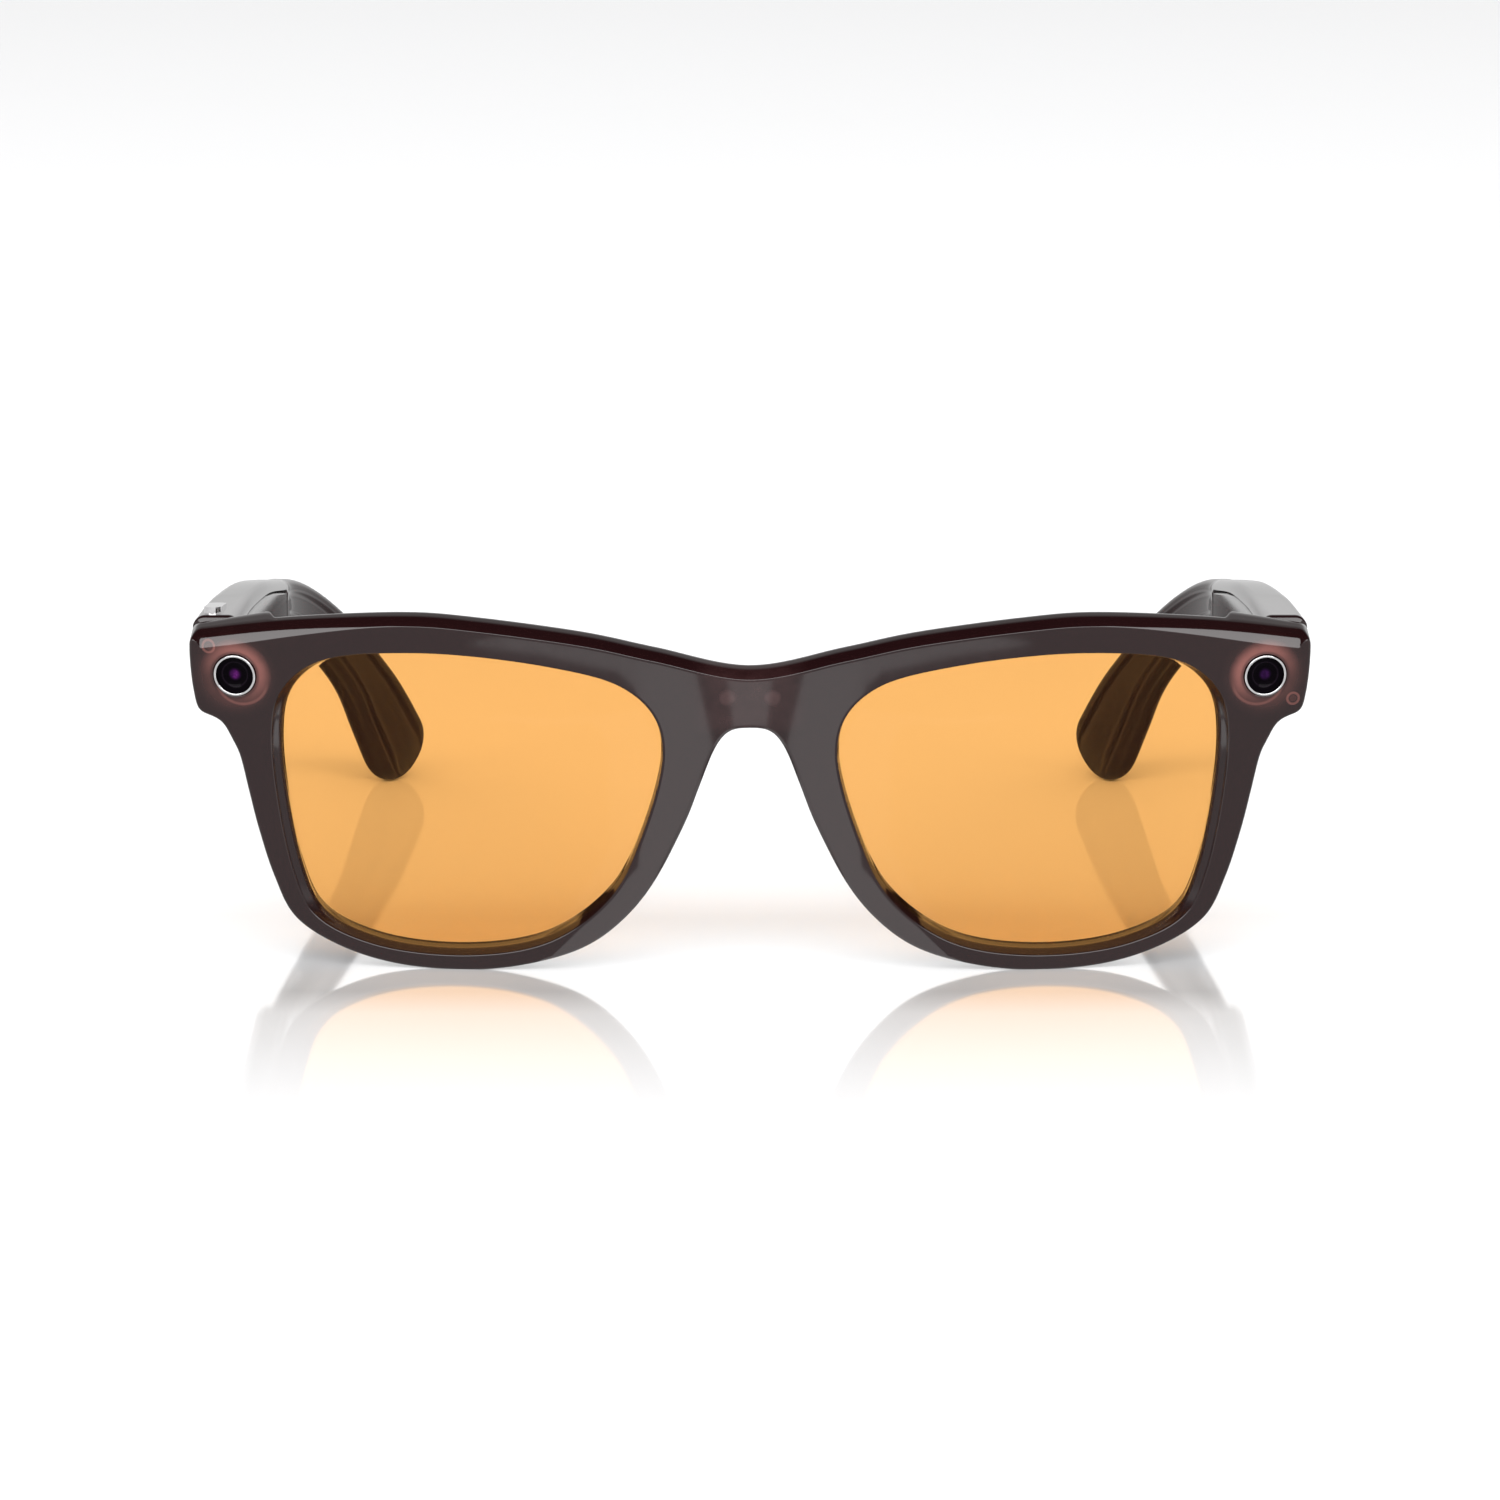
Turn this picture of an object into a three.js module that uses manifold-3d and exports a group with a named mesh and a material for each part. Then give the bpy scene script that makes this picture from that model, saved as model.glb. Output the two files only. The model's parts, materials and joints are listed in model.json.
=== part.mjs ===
// Smart glasses: a moulded front with two tinted lenses, a camera at one end and an indicator light at the
// other, and two folding temples that hold the battery, the electronics and the speakers.
// Millimetres. +X is the wearer's left, +Y runs from the front to the temple tips, +Z is up. The glasses
// stand open on the lower rims and the temple tips. The origin is the middle of the box around them, at the
// floor.
import * as THREE from "three";
import { TessellateModifier } from "three/addons/modifiers/TessellateModifier.js";
import { mergeVertices } from "three/addons/utils/BufferGeometryUtils.js";
import Module from "manifold-3d";

const wasm = await Module();
wasm.setup();

// ---- Driving dimensions ----

const CLEARANCE = 0.3; // air between neighbouring pieces

const LENS_WIDTH = 50.2;
const LENS_HEIGHT = 41.4;
const LENS_THICKNESS = 1.8;
const LENS_SEAT = 0.35; // how far the lens edge reaches into its groove
const LENS_RECESS = 1.9; // front face of the frame to the front of the lens edge
const LENS_BULGE = 1.1; // how far the middle of the lens stands forward of its edge

const BRIDGE_WIDTH = 22; // between the two lenses
const BRIDGE_HEIGHT = 7.3;
const BRIDGE_DIP = 1.9; // top of the bridge below the top of the opening
const RIM_BOTTOM = 2.5;
const RIM_SIDE = 4.7;
const BROW = 4.5; // highest point of the brow above the opening
const END_REACH = 11.6; // opening to the outer edge of the end piece
const END_RISE = 1.4; // top corner of the end piece above the opening
const END_HEIGHT = 10.8;
const END_THICKNESS = 6; // at the outer edge
const END_MARGIN = 1; // opening to the thick block of the end piece
const END_CORNER = 1.4; // corner radius

const FRONT_THICKNESS = 4.8;
const FRONT_EDGE = 0.5; // rounded edge of the front
const FRONT_RADIUS = 400; // the front wraps round the face
const FRONT_LEAN = 9.4; // degrees, top forward

const EYE_INSET = 5.9; // middle of the camera or light from the outer edge
const EYE_DROP = 5.2; // and below the top corner
const RING_RADIUS = 2.75;
const RING_WALL = 0.4;
const RING_DEPTH = 0.45;
const RING_PROUD = 0.2;
const EYE_SKIN = 1.4; // front wall over the camera cavity
const EYE_CAVITY_RADIUS = 4.4;
const WINDOW_THICKNESS = 0.6;
const CARRIER_THICKNESS = 0.6;
const BARREL_RADIUS = 2.2;
const BARREL_LENGTH = 1.7;
const BOARD_THICKNESS = 0.5;
const TAB_RADIUS = 0.7;
const TAB_REACH = 4.9; // middle of the carrier to the middle of its tab
const TAB_HOLE = 0.3;
const GUIDE_RADIUS = 1.7;

const BROW_COVER_DROP = 2; // middle of the brow cover below the top edge
const BROW_COVER_HEIGHT = 1.8;
const BROW_COVER_THICKNESS = 0.8;
const FLEX_THICKNESS = 0.25;
const FLEX_HEIGHT = 1.2;

const PLATE_WIDTH = 11;
const PLATE_HEIGHT = 4.6;
const PLATE_THICKNESS = 1.2;
const CONTACT_RADIUS = 0.95;
const CONTACT_SPACING = 5;
const CONTACT_PROUD = 0.2;
const MIC_RADIUS = 1.1;
const MIC_THICKNESS = 0.7;

const PAD_WIDTH = 3.8;
const PAD_HEIGHT = 12;
const PAD_DEPTH = 4.2;
const PAD_SPACING = 21.4; // between the middles of the two pads
const PAD_RAISE = 20.5; // middle of the pad above the lowest rim
const PAD_SPLAY = 12; // degrees, the pads open towards the face
const PAD_TILT = 24; // degrees, and downwards

const HINGE_BARREL = 1.45; // radius
const HINGE_KNUCKLE = 2.2; // length of one knuckle
const HINGE_PLATE = 1;
const HINGE_LEAF_HEIGHT = 8.6;
const HINGE_FRONT_LEAF = 7; // length of the leaf on the front
const HINGE_TEMPLE_LEAF = 8.5; // and on the temple
const LEAF_SHORTER = 0.6; // the temple's leaf is lower than the front's, at each end
const LEAF_BACK = 2; // back of the knuckle to the front edge of the temple's leaf
const PIN_RADIUS = 0.55;
const SCREW_HEAD_RADIUS = 1.05;
const SCREW_HEAD_HEIGHT = 0.5;
const SCREW_SLOT = 0.3;

const HOUSING_LENGTH = 94; // hinge end to the step behind the speaker
const TEMPLE_PITCH = 5.2; // degrees, down towards the ear
const TEMPLE_TAPER = 0.2; // degrees, inwards towards the ear
const TEMPLE_THICKNESS = 6;
const TEMPLE_THICKNESS_REAR = 5.4;
const TEMPLE_RISE_FRONT = 5.5; // middle line to the top edge at the hinge end
const TEMPLE_DROP_FRONT = 6.1; // and to the underside
const TEMPLE_RISE_BUTTON = 6.2; // top edge behind the button
const TEMPLE_HEIGHT_MIDDLE = 13.2;
const MIDDLE_START = 28; // hinge end to where the temple is at its full height
const MIDDLE_END = 56;
const REAR_TAPER = 8; // the last stretch of the housing
const TEMPLE_RISE_REAR = 4.6; // middle line to the top edge at the rear of the housing
const TEMPLE_DROP_REAR = 6; // and to the underside
const TEMPLE_CORNER = 1.5; // corner radius of the temple's section
const LEAN_LENGTH = 14; // the butt end leans with the front, and the lean fades out over this length
const STEP_LENGTH = 1.2;
const STEP_HEIGHT = 3; // the underside rises behind the speaker
const STEP_FADE = 28; // length over which the underside comes back down
const SLIMMING_LENGTH = 14; // the temple slims down behind the housing
const EAR_THICKNESS = 3.9;
const TIP_THICKNESS = 4.4;
const EAR_HEIGHT = 8.2; // where the bend is steepest
const EAR_DROP = 4.4; // middle line to the underside where the bend starts
const EAR_START = 106; // hinge end to the start of the bend over the ear
const EAR_RADIUS = 42;
const EAR_PITCH = 57; // degrees, down along the paddle
const EAR_YAW = 37; // degrees, the paddle leans in
const YAW_START = 88; // hinge end to where the temple starts to turn in
const TIP_RADIUS = 5.6; // round end of the paddle
const TIP_GROWTH = 60; // housing to where the paddle is deepest
const TIP_ROUNDING = 2.5; // 2 is a round end and more is squarer
const SPINE_BEYOND = 120; // the height curves run on past the tip

const SHELL_WALL = 1.1;
const SHELL_EDGE_WALL = 1.5;
const POCKET_START = 16; // from the hinge end
const POCKET_END_WALL = 2.5;
const COVER_THICKNESS = 0.9;
const CORE_RADIUS = 0.55;
const CORE_LENGTH = 42;

const BUTTON_LENGTH = 10;
const BUTTON_WIDTH = 2.3;
const BUTTON_DEPTH = 1.3;
const BUTTON_PROUD = 0.5;
const BUTTON_TRAVEL = 0.4;
const BUTTON_PLACE = 7; // hinge end to the middle of the button
const BUTTON_INSET = 2.3; // outer face to the middle of the button
const WIRE_WIDTH = 1.6; // passage from the button to the main board
const WIRE_HEIGHT = 1.2;
const SWITCH_LENGTH = 3.6;
const SWITCH_WIDTH = 2.2;
const SWITCH_HEIGHT = 1.1;

const SLIDER_LENGTH = 3.4;
const SLIDER_HEIGHT = 2;
const SLIDER_PROUD = 0.5;
const SLIDER_TRAVEL = 2;
const SLIDER_PLACE = 21; // hinge end to the middle of the slider, switched off
const SLIDER_BASE_LENGTH = 9;
const SLIDER_BASE_HEIGHT = 4;
const SLIDER_BASE_THICKNESS = 1.6;

const SPEAKER_LENGTH = 12;
const GRILLE_LENGTH = 9;
const GRILLE_WIDTH = 2;
const GRILLE_THICKNESS = 0.7;
const GRILLE_OUT = 1.7; // outer face to the grille
const GRILLE_FRAME = 0.35; // solid edge beside the slots
const GRILLE_SLOTS = 5;
const GRILLE_SLOT = 0.6;
const SPEAKER_MARGIN = 2.4; // underside to the speaker, which stands on the grille's cavity
const MIC_LENGTH = 3.5;
const MIC_OUT = 1.5; // outer face to the temple's microphone
const TEMPLE_MIC_THICKNESS = 1.2;
const TEMPLE_MIC_HEIGHT = 1.6;
const BATTERY_START = 33;
const BATTERY_LENGTH = 38;
const GUARD_LENGTH = 4.7; // protection board behind the battery
const BOARD_START = 22;
const BOARD_LENGTH = 50;
const BOARD_GAP = 0.9; // outer wall to the main board
const SHIELD_START = 28;
const SHIELD_LENGTH = 22;
const FILM_THICKNESS = 0.3;
const FILM_GAP = 0.15; // outer wall to the touch film

// ---- Worked out from them ----

const OPENING_A = LENS_WIDTH / 2 - LENS_SEAT;
const OPENING_B = LENS_HEIGHT / 2 - LENS_SEAT;
const LENS_X = (BRIDGE_WIDTH + LENS_WIDTH) / 2;
const LENS_Z = RIM_BOTTOM + OPENING_B;
const OPENING_TOP = LENS_Z + OPENING_B;
const HALF_WIDTH = LENS_X + OPENING_A + END_REACH;
const BRIDGE_TOP = OPENING_TOP - BRIDGE_DIP;
const END_TOP = OPENING_TOP + END_RISE;
const END_BOTTOM = END_TOP - END_HEIGHT;
const END_INNER = LENS_X + OPENING_A + END_MARGIN;
const FRONT_DIVISIONS = 60;
const LENS_DIVISIONS = 36;
const WRAP_PITCH = 20; // longest edge left on a plate before it is wrapped

const frontDepth = (u) => (u * u) / (2 * FRONT_RADIUS);
const frontSlope = (u) => Math.atan(u / FRONT_RADIUS);
const radians = (degrees) => (degrees * Math.PI) / 180;
const END_PLANE = frontDepth(HALF_WIDTH) + END_THICKNESS;

// The hinge pin stands behind the end piece, just inside the temple's inner face.
const HINGE_U = HALF_WIDTH - TEMPLE_THICKNESS - CLEARANCE - HINGE_BARREL;
const HINGE_T = END_PLANE + CLEARANCE + HINGE_BARREL;
const HINGE_W = (END_TOP + END_BOTTOM) / 2;

// ---- Solids ----

function solid(geometry) {
  const bare = geometry.clone();
  bare.deleteAttribute("normal");
  bare.deleteAttribute("uv");
  const merged = mergeVertices(bare, 1e-4);
  return new wasm.Manifold(
    new wasm.Mesh({
      numProp: 3,
      vertProperties: new Float32Array(merged.attributes.position.array),
      triVerts: new Uint32Array(merged.index.array),
    }),
  );
}

function geometryOf(body) {
  const mesh = body.getMesh();
  const geometry = new THREE.BufferGeometry();
  geometry.setAttribute("position", new THREE.BufferAttribute(new Float32Array(mesh.vertProperties), 3));
  geometry.setIndex(new THREE.BufferAttribute(new Uint32Array(mesh.triVerts), 1));
  geometry.computeVertexNormals();
  return geometry;
}

function cut(geometry, ...tools) {
  return geometryOf(tools.reduce((body, tool) => body.subtract(solid(tool)), solid(geometry)));
}

function join(geometry, ...others) {
  return geometryOf(others.reduce((body, other) => body.add(solid(other)), solid(geometry)));
}

function keep(geometry, region) {
  return geometryOf(solid(geometry).intersect(solid(region)));
}

// A box from one corner to the opposite one.
function block(x0, x1, y0, y1, z0, z1) {
  const box = new THREE.BoxGeometry(x1 - x0, y1 - y0, z1 - z0);
  return box.translate((x0 + x1) / 2, (y0 + y1) / 2, (z0 + z1) / 2);
}

// A disc or rod along Y from y0 to y1.
function rodY(radius, y0, y1, sides = 20) {
  const rod = new THREE.CylinderGeometry(radius, radius, y1 - y0, sides);
  return rod.translate(0, (y0 + y1) / 2, 0);
}

function rodZ(radius, z0, z1, sides = 16) {
  const rod = new THREE.CylinderGeometry(radius, radius, z1 - z0, sides);
  return rod.rotateX(Math.PI / 2).translate(0, 0, (z0 + z1) / 2);
}

// The same piece for the other side of the glasses: x changes sign, and the faces still point out.
function mirrored(geometry) {
  const flipped = geometry.index ? geometry.toNonIndexed() : geometry.clone();
  flipped.scale(-1, 1, 1);
  const position = flipped.attributes.position;
  for (let i = 0; i < position.count; i += 3) {
    const [x, y, z] = [position.getX(i), position.getY(i), position.getZ(i)];
    position.setXYZ(i, position.getX(i + 1), position.getY(i + 1), position.getZ(i + 1));
    position.setXYZ(i + 1, x, y, z);
  }
  const whole = mergeVertices(new THREE.BufferGeometry().setAttribute("position", position));
  whole.computeVertexNormals();
  return whole;
}

const forSide = (side, geometry) => (side > 0 ? geometry : mirrored(geometry));

function piece(name, geometry, material) {
  const mesh = new THREE.Mesh(geometry, material);
  mesh.name = name;
  return mesh;
}

// The height of a curve in a plane at a given x, where x grows along the curve.
function heightAt(curve, x) {
  let [low, high] = [0, 1];
  for (let i = 0; i < 40; i += 1) {
    const middle = (low + high) / 2;
    if (curve.getPoint(middle).x < x) low = middle;
    else high = middle;
  }
  return curve.getPoint(low).y;
}

const curveThrough = (pairs) => new THREE.SplineCurve(pairs.map(([x, y]) => new THREE.Vector2(x, y)));

// ---- Materials ----

const paint = (color, roughness, metalness = 0) =>
  new THREE.MeshStandardMaterial({ color, roughness, metalness });
const FRAME = paint(0x3a2f31, 0.15);
const LENS = paint(0xf6b768, 0.05);
const PAD = paint(0x4a3c3a, 0.2);
const STEEL = paint(0xb9babc, 0.3, 1);
const SILVER = paint(0xd8d8da, 0.2, 1);
const BLACK = paint(0x141114, 0.25);
const GLASS = paint(0x08070a, 0.03);
const PINK = paint(0x7e524c, 0.35);
const BOARD = paint(0x24402e, 0.5);
const COPPER = paint(0xb2703a, 0.45);
const GOLD = paint(0xd9b46a, 0.25, 1);
const CLEAR = paint(0xe4e6e8, 0.1);
const FOIL = paint(0x9a9ea3, 0.4);

// ---- Front: outlines ----

// Shape of the lens opening in its own unit box, nasal side at -1.
const OPENING_SHAPE = [
  [0.99, 0.42], [0.94, 0.71], [0.76, 0.915], [0.29, 1], [-0.42, 0.93], [-0.79, 0.805], [-0.95, 0.62],
  [-0.995, 0.37], [-0.88, -0.195], [-0.73, -0.575], [-0.42, -0.885], [0, -1], [0.5, -0.95], [0.785, -0.775],
  [0.895, -0.48],
];
const openingCurve = new THREE.CatmullRomCurve3(
  OPENING_SHAPE.map(([a, b]) => new THREE.Vector3(LENS_X + a * OPENING_A, LENS_Z + b * OPENING_B, 0)),
  true,
);

// A point on the opening's outline, moved outwards by a distance.
function openingPoint(share, grow) {
  const point = openingCurve.getPointAt(share % 1);
  const along = openingCurve.getTangentAt(share % 1);
  return new THREE.Vector2(point.x + along.y * grow, point.y - along.x * grow);
}

function openingOutline(side, grow = 0) {
  const points = [];
  for (let i = 0; i < LENS_DIVISIONS; i += 1) {
    const point = openingPoint(i / LENS_DIVISIONS, grow);
    points.push(new THREE.Vector2(side * point.x, point.y));
  }
  return points;
}

const rimPoint = (a, b) => [LENS_X + a * (OPENING_A + RIM_SIDE), LENS_Z + b * (OPENING_B + RIM_BOTTOM)];

// Lower edge of one half, from the bridge round the rim to the end piece.
function lowerEdgePoints() {
  const [nasal] = rimPoint(-1.003, 0.134);
  const arch = BRIDGE_TOP - BRIDGE_HEIGHT;
  return [
    [0, arch], [0.4 * nasal, arch - 0.4], [0.69 * nasal, arch - 2.8], rimPoint(-1.003, 0.134),
    rimPoint(-0.939, -0.086), rimPoint(-0.807, -0.433), rimPoint(-0.671, -0.666), rimPoint(-0.5, -0.84),
    rimPoint(-0.271, -0.947), rimPoint(0, -1), rimPoint(0.329, -0.982), rimPoint(0.593, -0.886),
    rimPoint(0.79, -0.723), rimPoint(0.881, -0.481), rimPoint(0.945, -0.2), rimPoint(0.985, 0.03),
    rimPoint(1.02, 0.24), [HALF_WIDTH - 5.4, END_BOTTOM - 3.4], [HALF_WIDTH - 4.1, END_BOTTOM - 1],
    [HALF_WIDTH - 2.4, END_BOTTOM - 0.1],
  ];
}

function topEdgePoints() {
  return [
    [0, BRIDGE_TOP], [LENS_X - 24, OPENING_TOP + 0.5], [LENS_X - 14.3, OPENING_TOP + 2.5],
    [LENS_X - 0.8, OPENING_TOP + BROW - 0.4], [LENS_X + 8.8, OPENING_TOP + BROW],
    [LENS_X + OPENING_A - 1.7, OPENING_TOP + BROW - 1.2], [HALF_WIDTH - END_CORNER, END_TOP],
  ];
}

const bothHalves = (half) => [...half.slice(1).reverse().map(([x, y]) => [-x, y]), ...half];
const lowerEdge = curveThrough(bothHalves(lowerEdgePoints()));
const topEdge = curveThrough(bothHalves(topEdgePoints()));

// Side of one end piece, from its lower corner to its top corner.
function endSide() {
  const side = new THREE.Path();
  side.moveTo(HALF_WIDTH - 1.6, END_BOTTOM + 0.1);
  side.quadraticCurveTo(HALF_WIDTH - 0.8, END_BOTTOM + 0.2, HALF_WIDTH - 0.6, END_BOTTOM + 2);
  side.quadraticCurveTo(HALF_WIDTH, END_BOTTOM + 5, HALF_WIDTH, END_TOP - END_CORNER);
  side.quadraticCurveTo(HALF_WIDTH, END_TOP - 0.1, HALF_WIDTH - 0.4 * END_CORNER, END_TOP - 0.1);
  return side.getPoints(3);
}

function frontOutline() {
  const side = endSide();
  const flipped = side.map((point) => new THREE.Vector2(-point.x, point.y)).reverse();
  const top = topEdge.getPoints(FRONT_DIVISIONS / 2).reverse();
  return [...lowerEdge.getPoints(FRONT_DIVISIONS), ...side, ...top, ...flipped];
}

// A flat outline in the front's plane becomes a plate from depth t0 to t1, with rounded edges if asked.
function plate(shape, t0, t1, edge = 0) {
  const geometry = new THREE.ExtrudeGeometry(shape, {
    depth: t1 - t0 - 2 * edge,
    steps: 1,
    bevelEnabled: edge > 0,
    bevelThickness: edge,
    bevelSize: edge,
    bevelOffset: -edge,
    bevelSegments: 1,
  });
  return geometry.translate(0, 0, edge - t1).rotateX(Math.PI / 2);
}

// The front wraps round the face: everything in it moves back with its distance from the middle.
function wrap(geometry) {
  const fine = new TessellateModifier(WRAP_PITCH, 6).modify(geometry);
  const position = fine.attributes.position;
  for (let i = 0; i < position.count; i += 1)
    position.setY(i, position.getY(i) + frontDepth(position.getX(i)));
  return fine;
}

// ---- Front: lens and groove ----

// A domed disc whose round outline takes the shape of the opening.
function lensBody(side, grow, extra) {
  const [front, back] = [LENS_RECESS - extra, LENS_RECESS + LENS_THICKNESS + extra];
  const rings = [0, 0.6, 1];
  const profile = [
    ...rings.map((ring) => new THREE.Vector2(ring, -front)).reverse(),
    ...rings.map((ring) => new THREE.Vector2(ring, -back)),
    new THREE.Vector2(1, -front),
  ];
  const lathe = new THREE.LatheGeometry(profile, LENS_DIVISIONS);
  const position = lathe.attributes.position;
  for (let i = 0; i < position.count; i += 1) {
    const [x, depth, z] = [position.getX(i), -position.getY(i), position.getZ(i)];
    const ring = Math.hypot(x, z);
    const share = (Math.atan2(x, z) / (2 * Math.PI) + 1) % 1;
    const edge = openingPoint(Math.round(share * LENS_DIVISIONS) / LENS_DIVISIONS, grow);
    const u = LENS_X + ring * (edge.x - LENS_X);
    const w = LENS_Z + ring * (edge.y - LENS_Z);
    position.setXYZ(i, u, depth + frontDepth(u) - LENS_BULGE * (1 - ring * ring), w);
  }
  return forSide(side, lathe);
}

// ---- Front: electronics at the two ends ----

// The camera and the light look square out of the curved front: their own axes are turned with it.
function eyeFrame(side) {
  const u = HALF_WIDTH - EYE_INSET;
  const frame = new THREE.Matrix4().makeRotationZ(side * frontSlope(u));
  return frame.setPosition(side * u, frontDepth(u), END_TOP - EYE_DROP);
}

const WINDOW_DEPTH = RING_DEPTH - RING_PROUD + CLEARANCE;
const CARRIER_DEPTH = EYE_SKIN + CLEARANCE;
const CARRIER_BACK = CARRIER_DEPTH + CARRIER_THICKNESS;
const BARREL_FRONT = WINDOW_DEPTH + WINDOW_THICKNESS + CLEARANCE;
const BARREL_BACK = CARRIER_BACK + BARREL_LENGTH;

// The tab points outwards and up on the camera's carrier, outwards and down on the light's.
const tabAngle = (side) => (side > 0 ? radians(-42) : radians(48));

function carrier(side, hole) {
  const disc = rodY(EYE_CAVITY_RADIUS - CLEARANCE, CARRIER_DEPTH, CARRIER_BACK);
  const tab = rodY(TAB_RADIUS, CARRIER_DEPTH, CARRIER_BACK, 12);
  const neck = block(0, TAB_REACH, CARRIER_DEPTH, CARRIER_BACK, -TAB_RADIUS, TAB_RADIUS);
  const pin = rodY(TAB_HOLE, CARRIER_DEPTH - 1, CARRIER_BACK + 1, 8).translate(TAB_REACH, 0, 0);
  const arm = join(tab.translate(TAB_REACH, 0, 0), neck).rotateY(-tabAngle(side));
  const holes = [rodY(hole, CARRIER_DEPTH - 1, CARRIER_BACK + 1), pin.rotateY(-tabAngle(side))];
  return cut(join(disc, arm), ...holes);
}

function tabPocket(side) {
  const [front, back] = [EYE_SKIN, CARRIER_BACK + CLEARANCE];
  const radius = TAB_RADIUS + CLEARANCE;
  const end = rodY(radius, front, back, 12).translate(TAB_REACH, 0, 0);
  return join(end, block(0, TAB_REACH, front, back, -radius, radius)).rotateY(-tabAngle(side));
}

// Pieces at one end, in the front's own frame. The light has a guide where the camera has a barrel.
function eyePieces(side, name, coreName, coreRadius, coreMaterial) {
  const ring = new THREE.LatheGeometry(
    [
      new THREE.Vector2(RING_RADIUS - RING_WALL, -RING_PROUD),
      new THREE.Vector2(RING_RADIUS, -RING_PROUD),
      new THREE.Vector2(RING_RADIUS, RING_DEPTH - RING_PROUD),
      new THREE.Vector2(RING_RADIUS - RING_WALL, RING_DEPTH - RING_PROUD),
      new THREE.Vector2(RING_RADIUS - RING_WALL, -RING_PROUD),
    ],
    24,
  );
  const window = rodY(RING_RADIUS, WINDOW_DEPTH, WINDOW_DEPTH + WINDOW_THICKNESS, 24);
  const core = rodY(coreRadius, BARREL_FRONT, BARREL_BACK);
  const half = EYE_CAVITY_RADIUS * Math.SQRT1_2 - CLEARANCE;
  const back = BARREL_BACK + CLEARANCE;
  const board = block(-half, half, back, back + BOARD_THICKNESS, -half, half);
  const out = (geometry) => forSide(side, geometry).applyMatrix4(eyeFrame(side));
  return [
    piece(`${name}_trim_ring`, out(ring), SILVER),
    piece(`${name}_window`, out(window), GLASS),
    piece(`${name}_carrier`, out(carrier(side, coreRadius + CLEARANCE)), PINK),
    piece(coreName, out(core), coreMaterial),
    piece(`${name}_board`, out(board), BOARD),
  ];
}

function eyeCuts(side) {
  const mouth = rodY(RING_RADIUS + CLEARANCE, -3, EYE_SKIN + 1, 24);
  const cavity = rodY(EYE_CAVITY_RADIUS, EYE_SKIN, END_PLANE);
  const cuts = [mouth, cavity, tabPocket(side)];
  return cuts.map((tool) => forSide(side, tool).applyMatrix4(eyeFrame(side)));
}

// ---- Front: brow cable channel and bridge ----

// A strip that runs along the brow between two places, from depth t0 to t1.
function browStrip(u0, u1, height, t0, t1) {
  const steps = Math.max(4, Math.round(Math.abs(u1 - u0) / 6));
  const line = [];
  for (let i = 0; i <= steps; i += 1) {
    const u = u0 + ((u1 - u0) * i) / steps;
    line.push(new THREE.Vector2(u, heightAt(topEdge, u) - BROW_COVER_DROP));
  }
  const upper = line.map((point) => new THREE.Vector2(point.x, point.y + height / 2));
  const lower = line.map((point) => new THREE.Vector2(point.x, point.y - height / 2)).reverse();
  return wrap(plate(new THREE.Shape([...upper, ...lower]), t0, t1));
}

const CHANNEL_FLOOR = FRONT_THICKNESS - PLATE_THICKNESS - FLEX_THICKNESS - 2 * CLEARANCE;
const PLATE_FRONT = FRONT_THICKNESS - PLATE_THICKNESS;
const PLATE_W = BRIDGE_TOP - BROW_COVER_DROP + BROW_COVER_HEIGHT / 2 - PLATE_HEIGHT / 2;
const MIC_W = PLATE_W - PLATE_HEIGHT / 2 + MIC_RADIUS + CLEARANCE; // it sits in front of the plate
const CAVITY_INNER = HALF_WIDTH - EYE_INSET - EYE_CAVITY_RADIUS;

function channelCuts() {
  const height = BROW_COVER_HEIGHT + 2 * CLEARANCE;
  const end = CAVITY_INNER + CLEARANCE;
  const strip = browStrip(-end, end, height, CHANNEL_FLOOR, FRONT_THICKNESS + 0.5);
  const [half, tall] = [PLATE_WIDTH / 2 + CLEARANCE, PLATE_HEIGHT / 2 + CLEARANCE];
  const seat = block(-half, half, CHANNEL_FLOOR, FRONT_THICKNESS + 1, PLATE_W - tall, PLATE_W + tall);
  const well = rodY(MIC_RADIUS + CLEARANCE, CHANNEL_FLOOR - MIC_THICKNESS - CLEARANCE, FRONT_THICKNESS, 12);
  return [strip, seat, well.translate(0, 0, MIC_W)];
}

function browPieces() {
  const [start, end] = [PLATE_WIDTH / 2 + 2 * CLEARANCE, END_INNER - CLEARANCE];
  const front = FRONT_THICKNESS - BROW_COVER_THICKNESS;
  const cover = browStrip(start, end, BROW_COVER_HEIGHT, front, FRONT_THICKNESS);
  const flexEnd = CAVITY_INNER;
  const flexFront = CHANNEL_FLOOR + CLEARANCE;
  const flex = browStrip(-flexEnd, flexEnd, FLEX_HEIGHT, flexFront, flexFront + FLEX_THICKNESS);
  return [
    piece("brow_cover_left", cover, FRAME),
    piece("brow_cover_right", mirrored(cover), FRAME),
    piece("front_flex", flex, COPPER),
  ];
}

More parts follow.
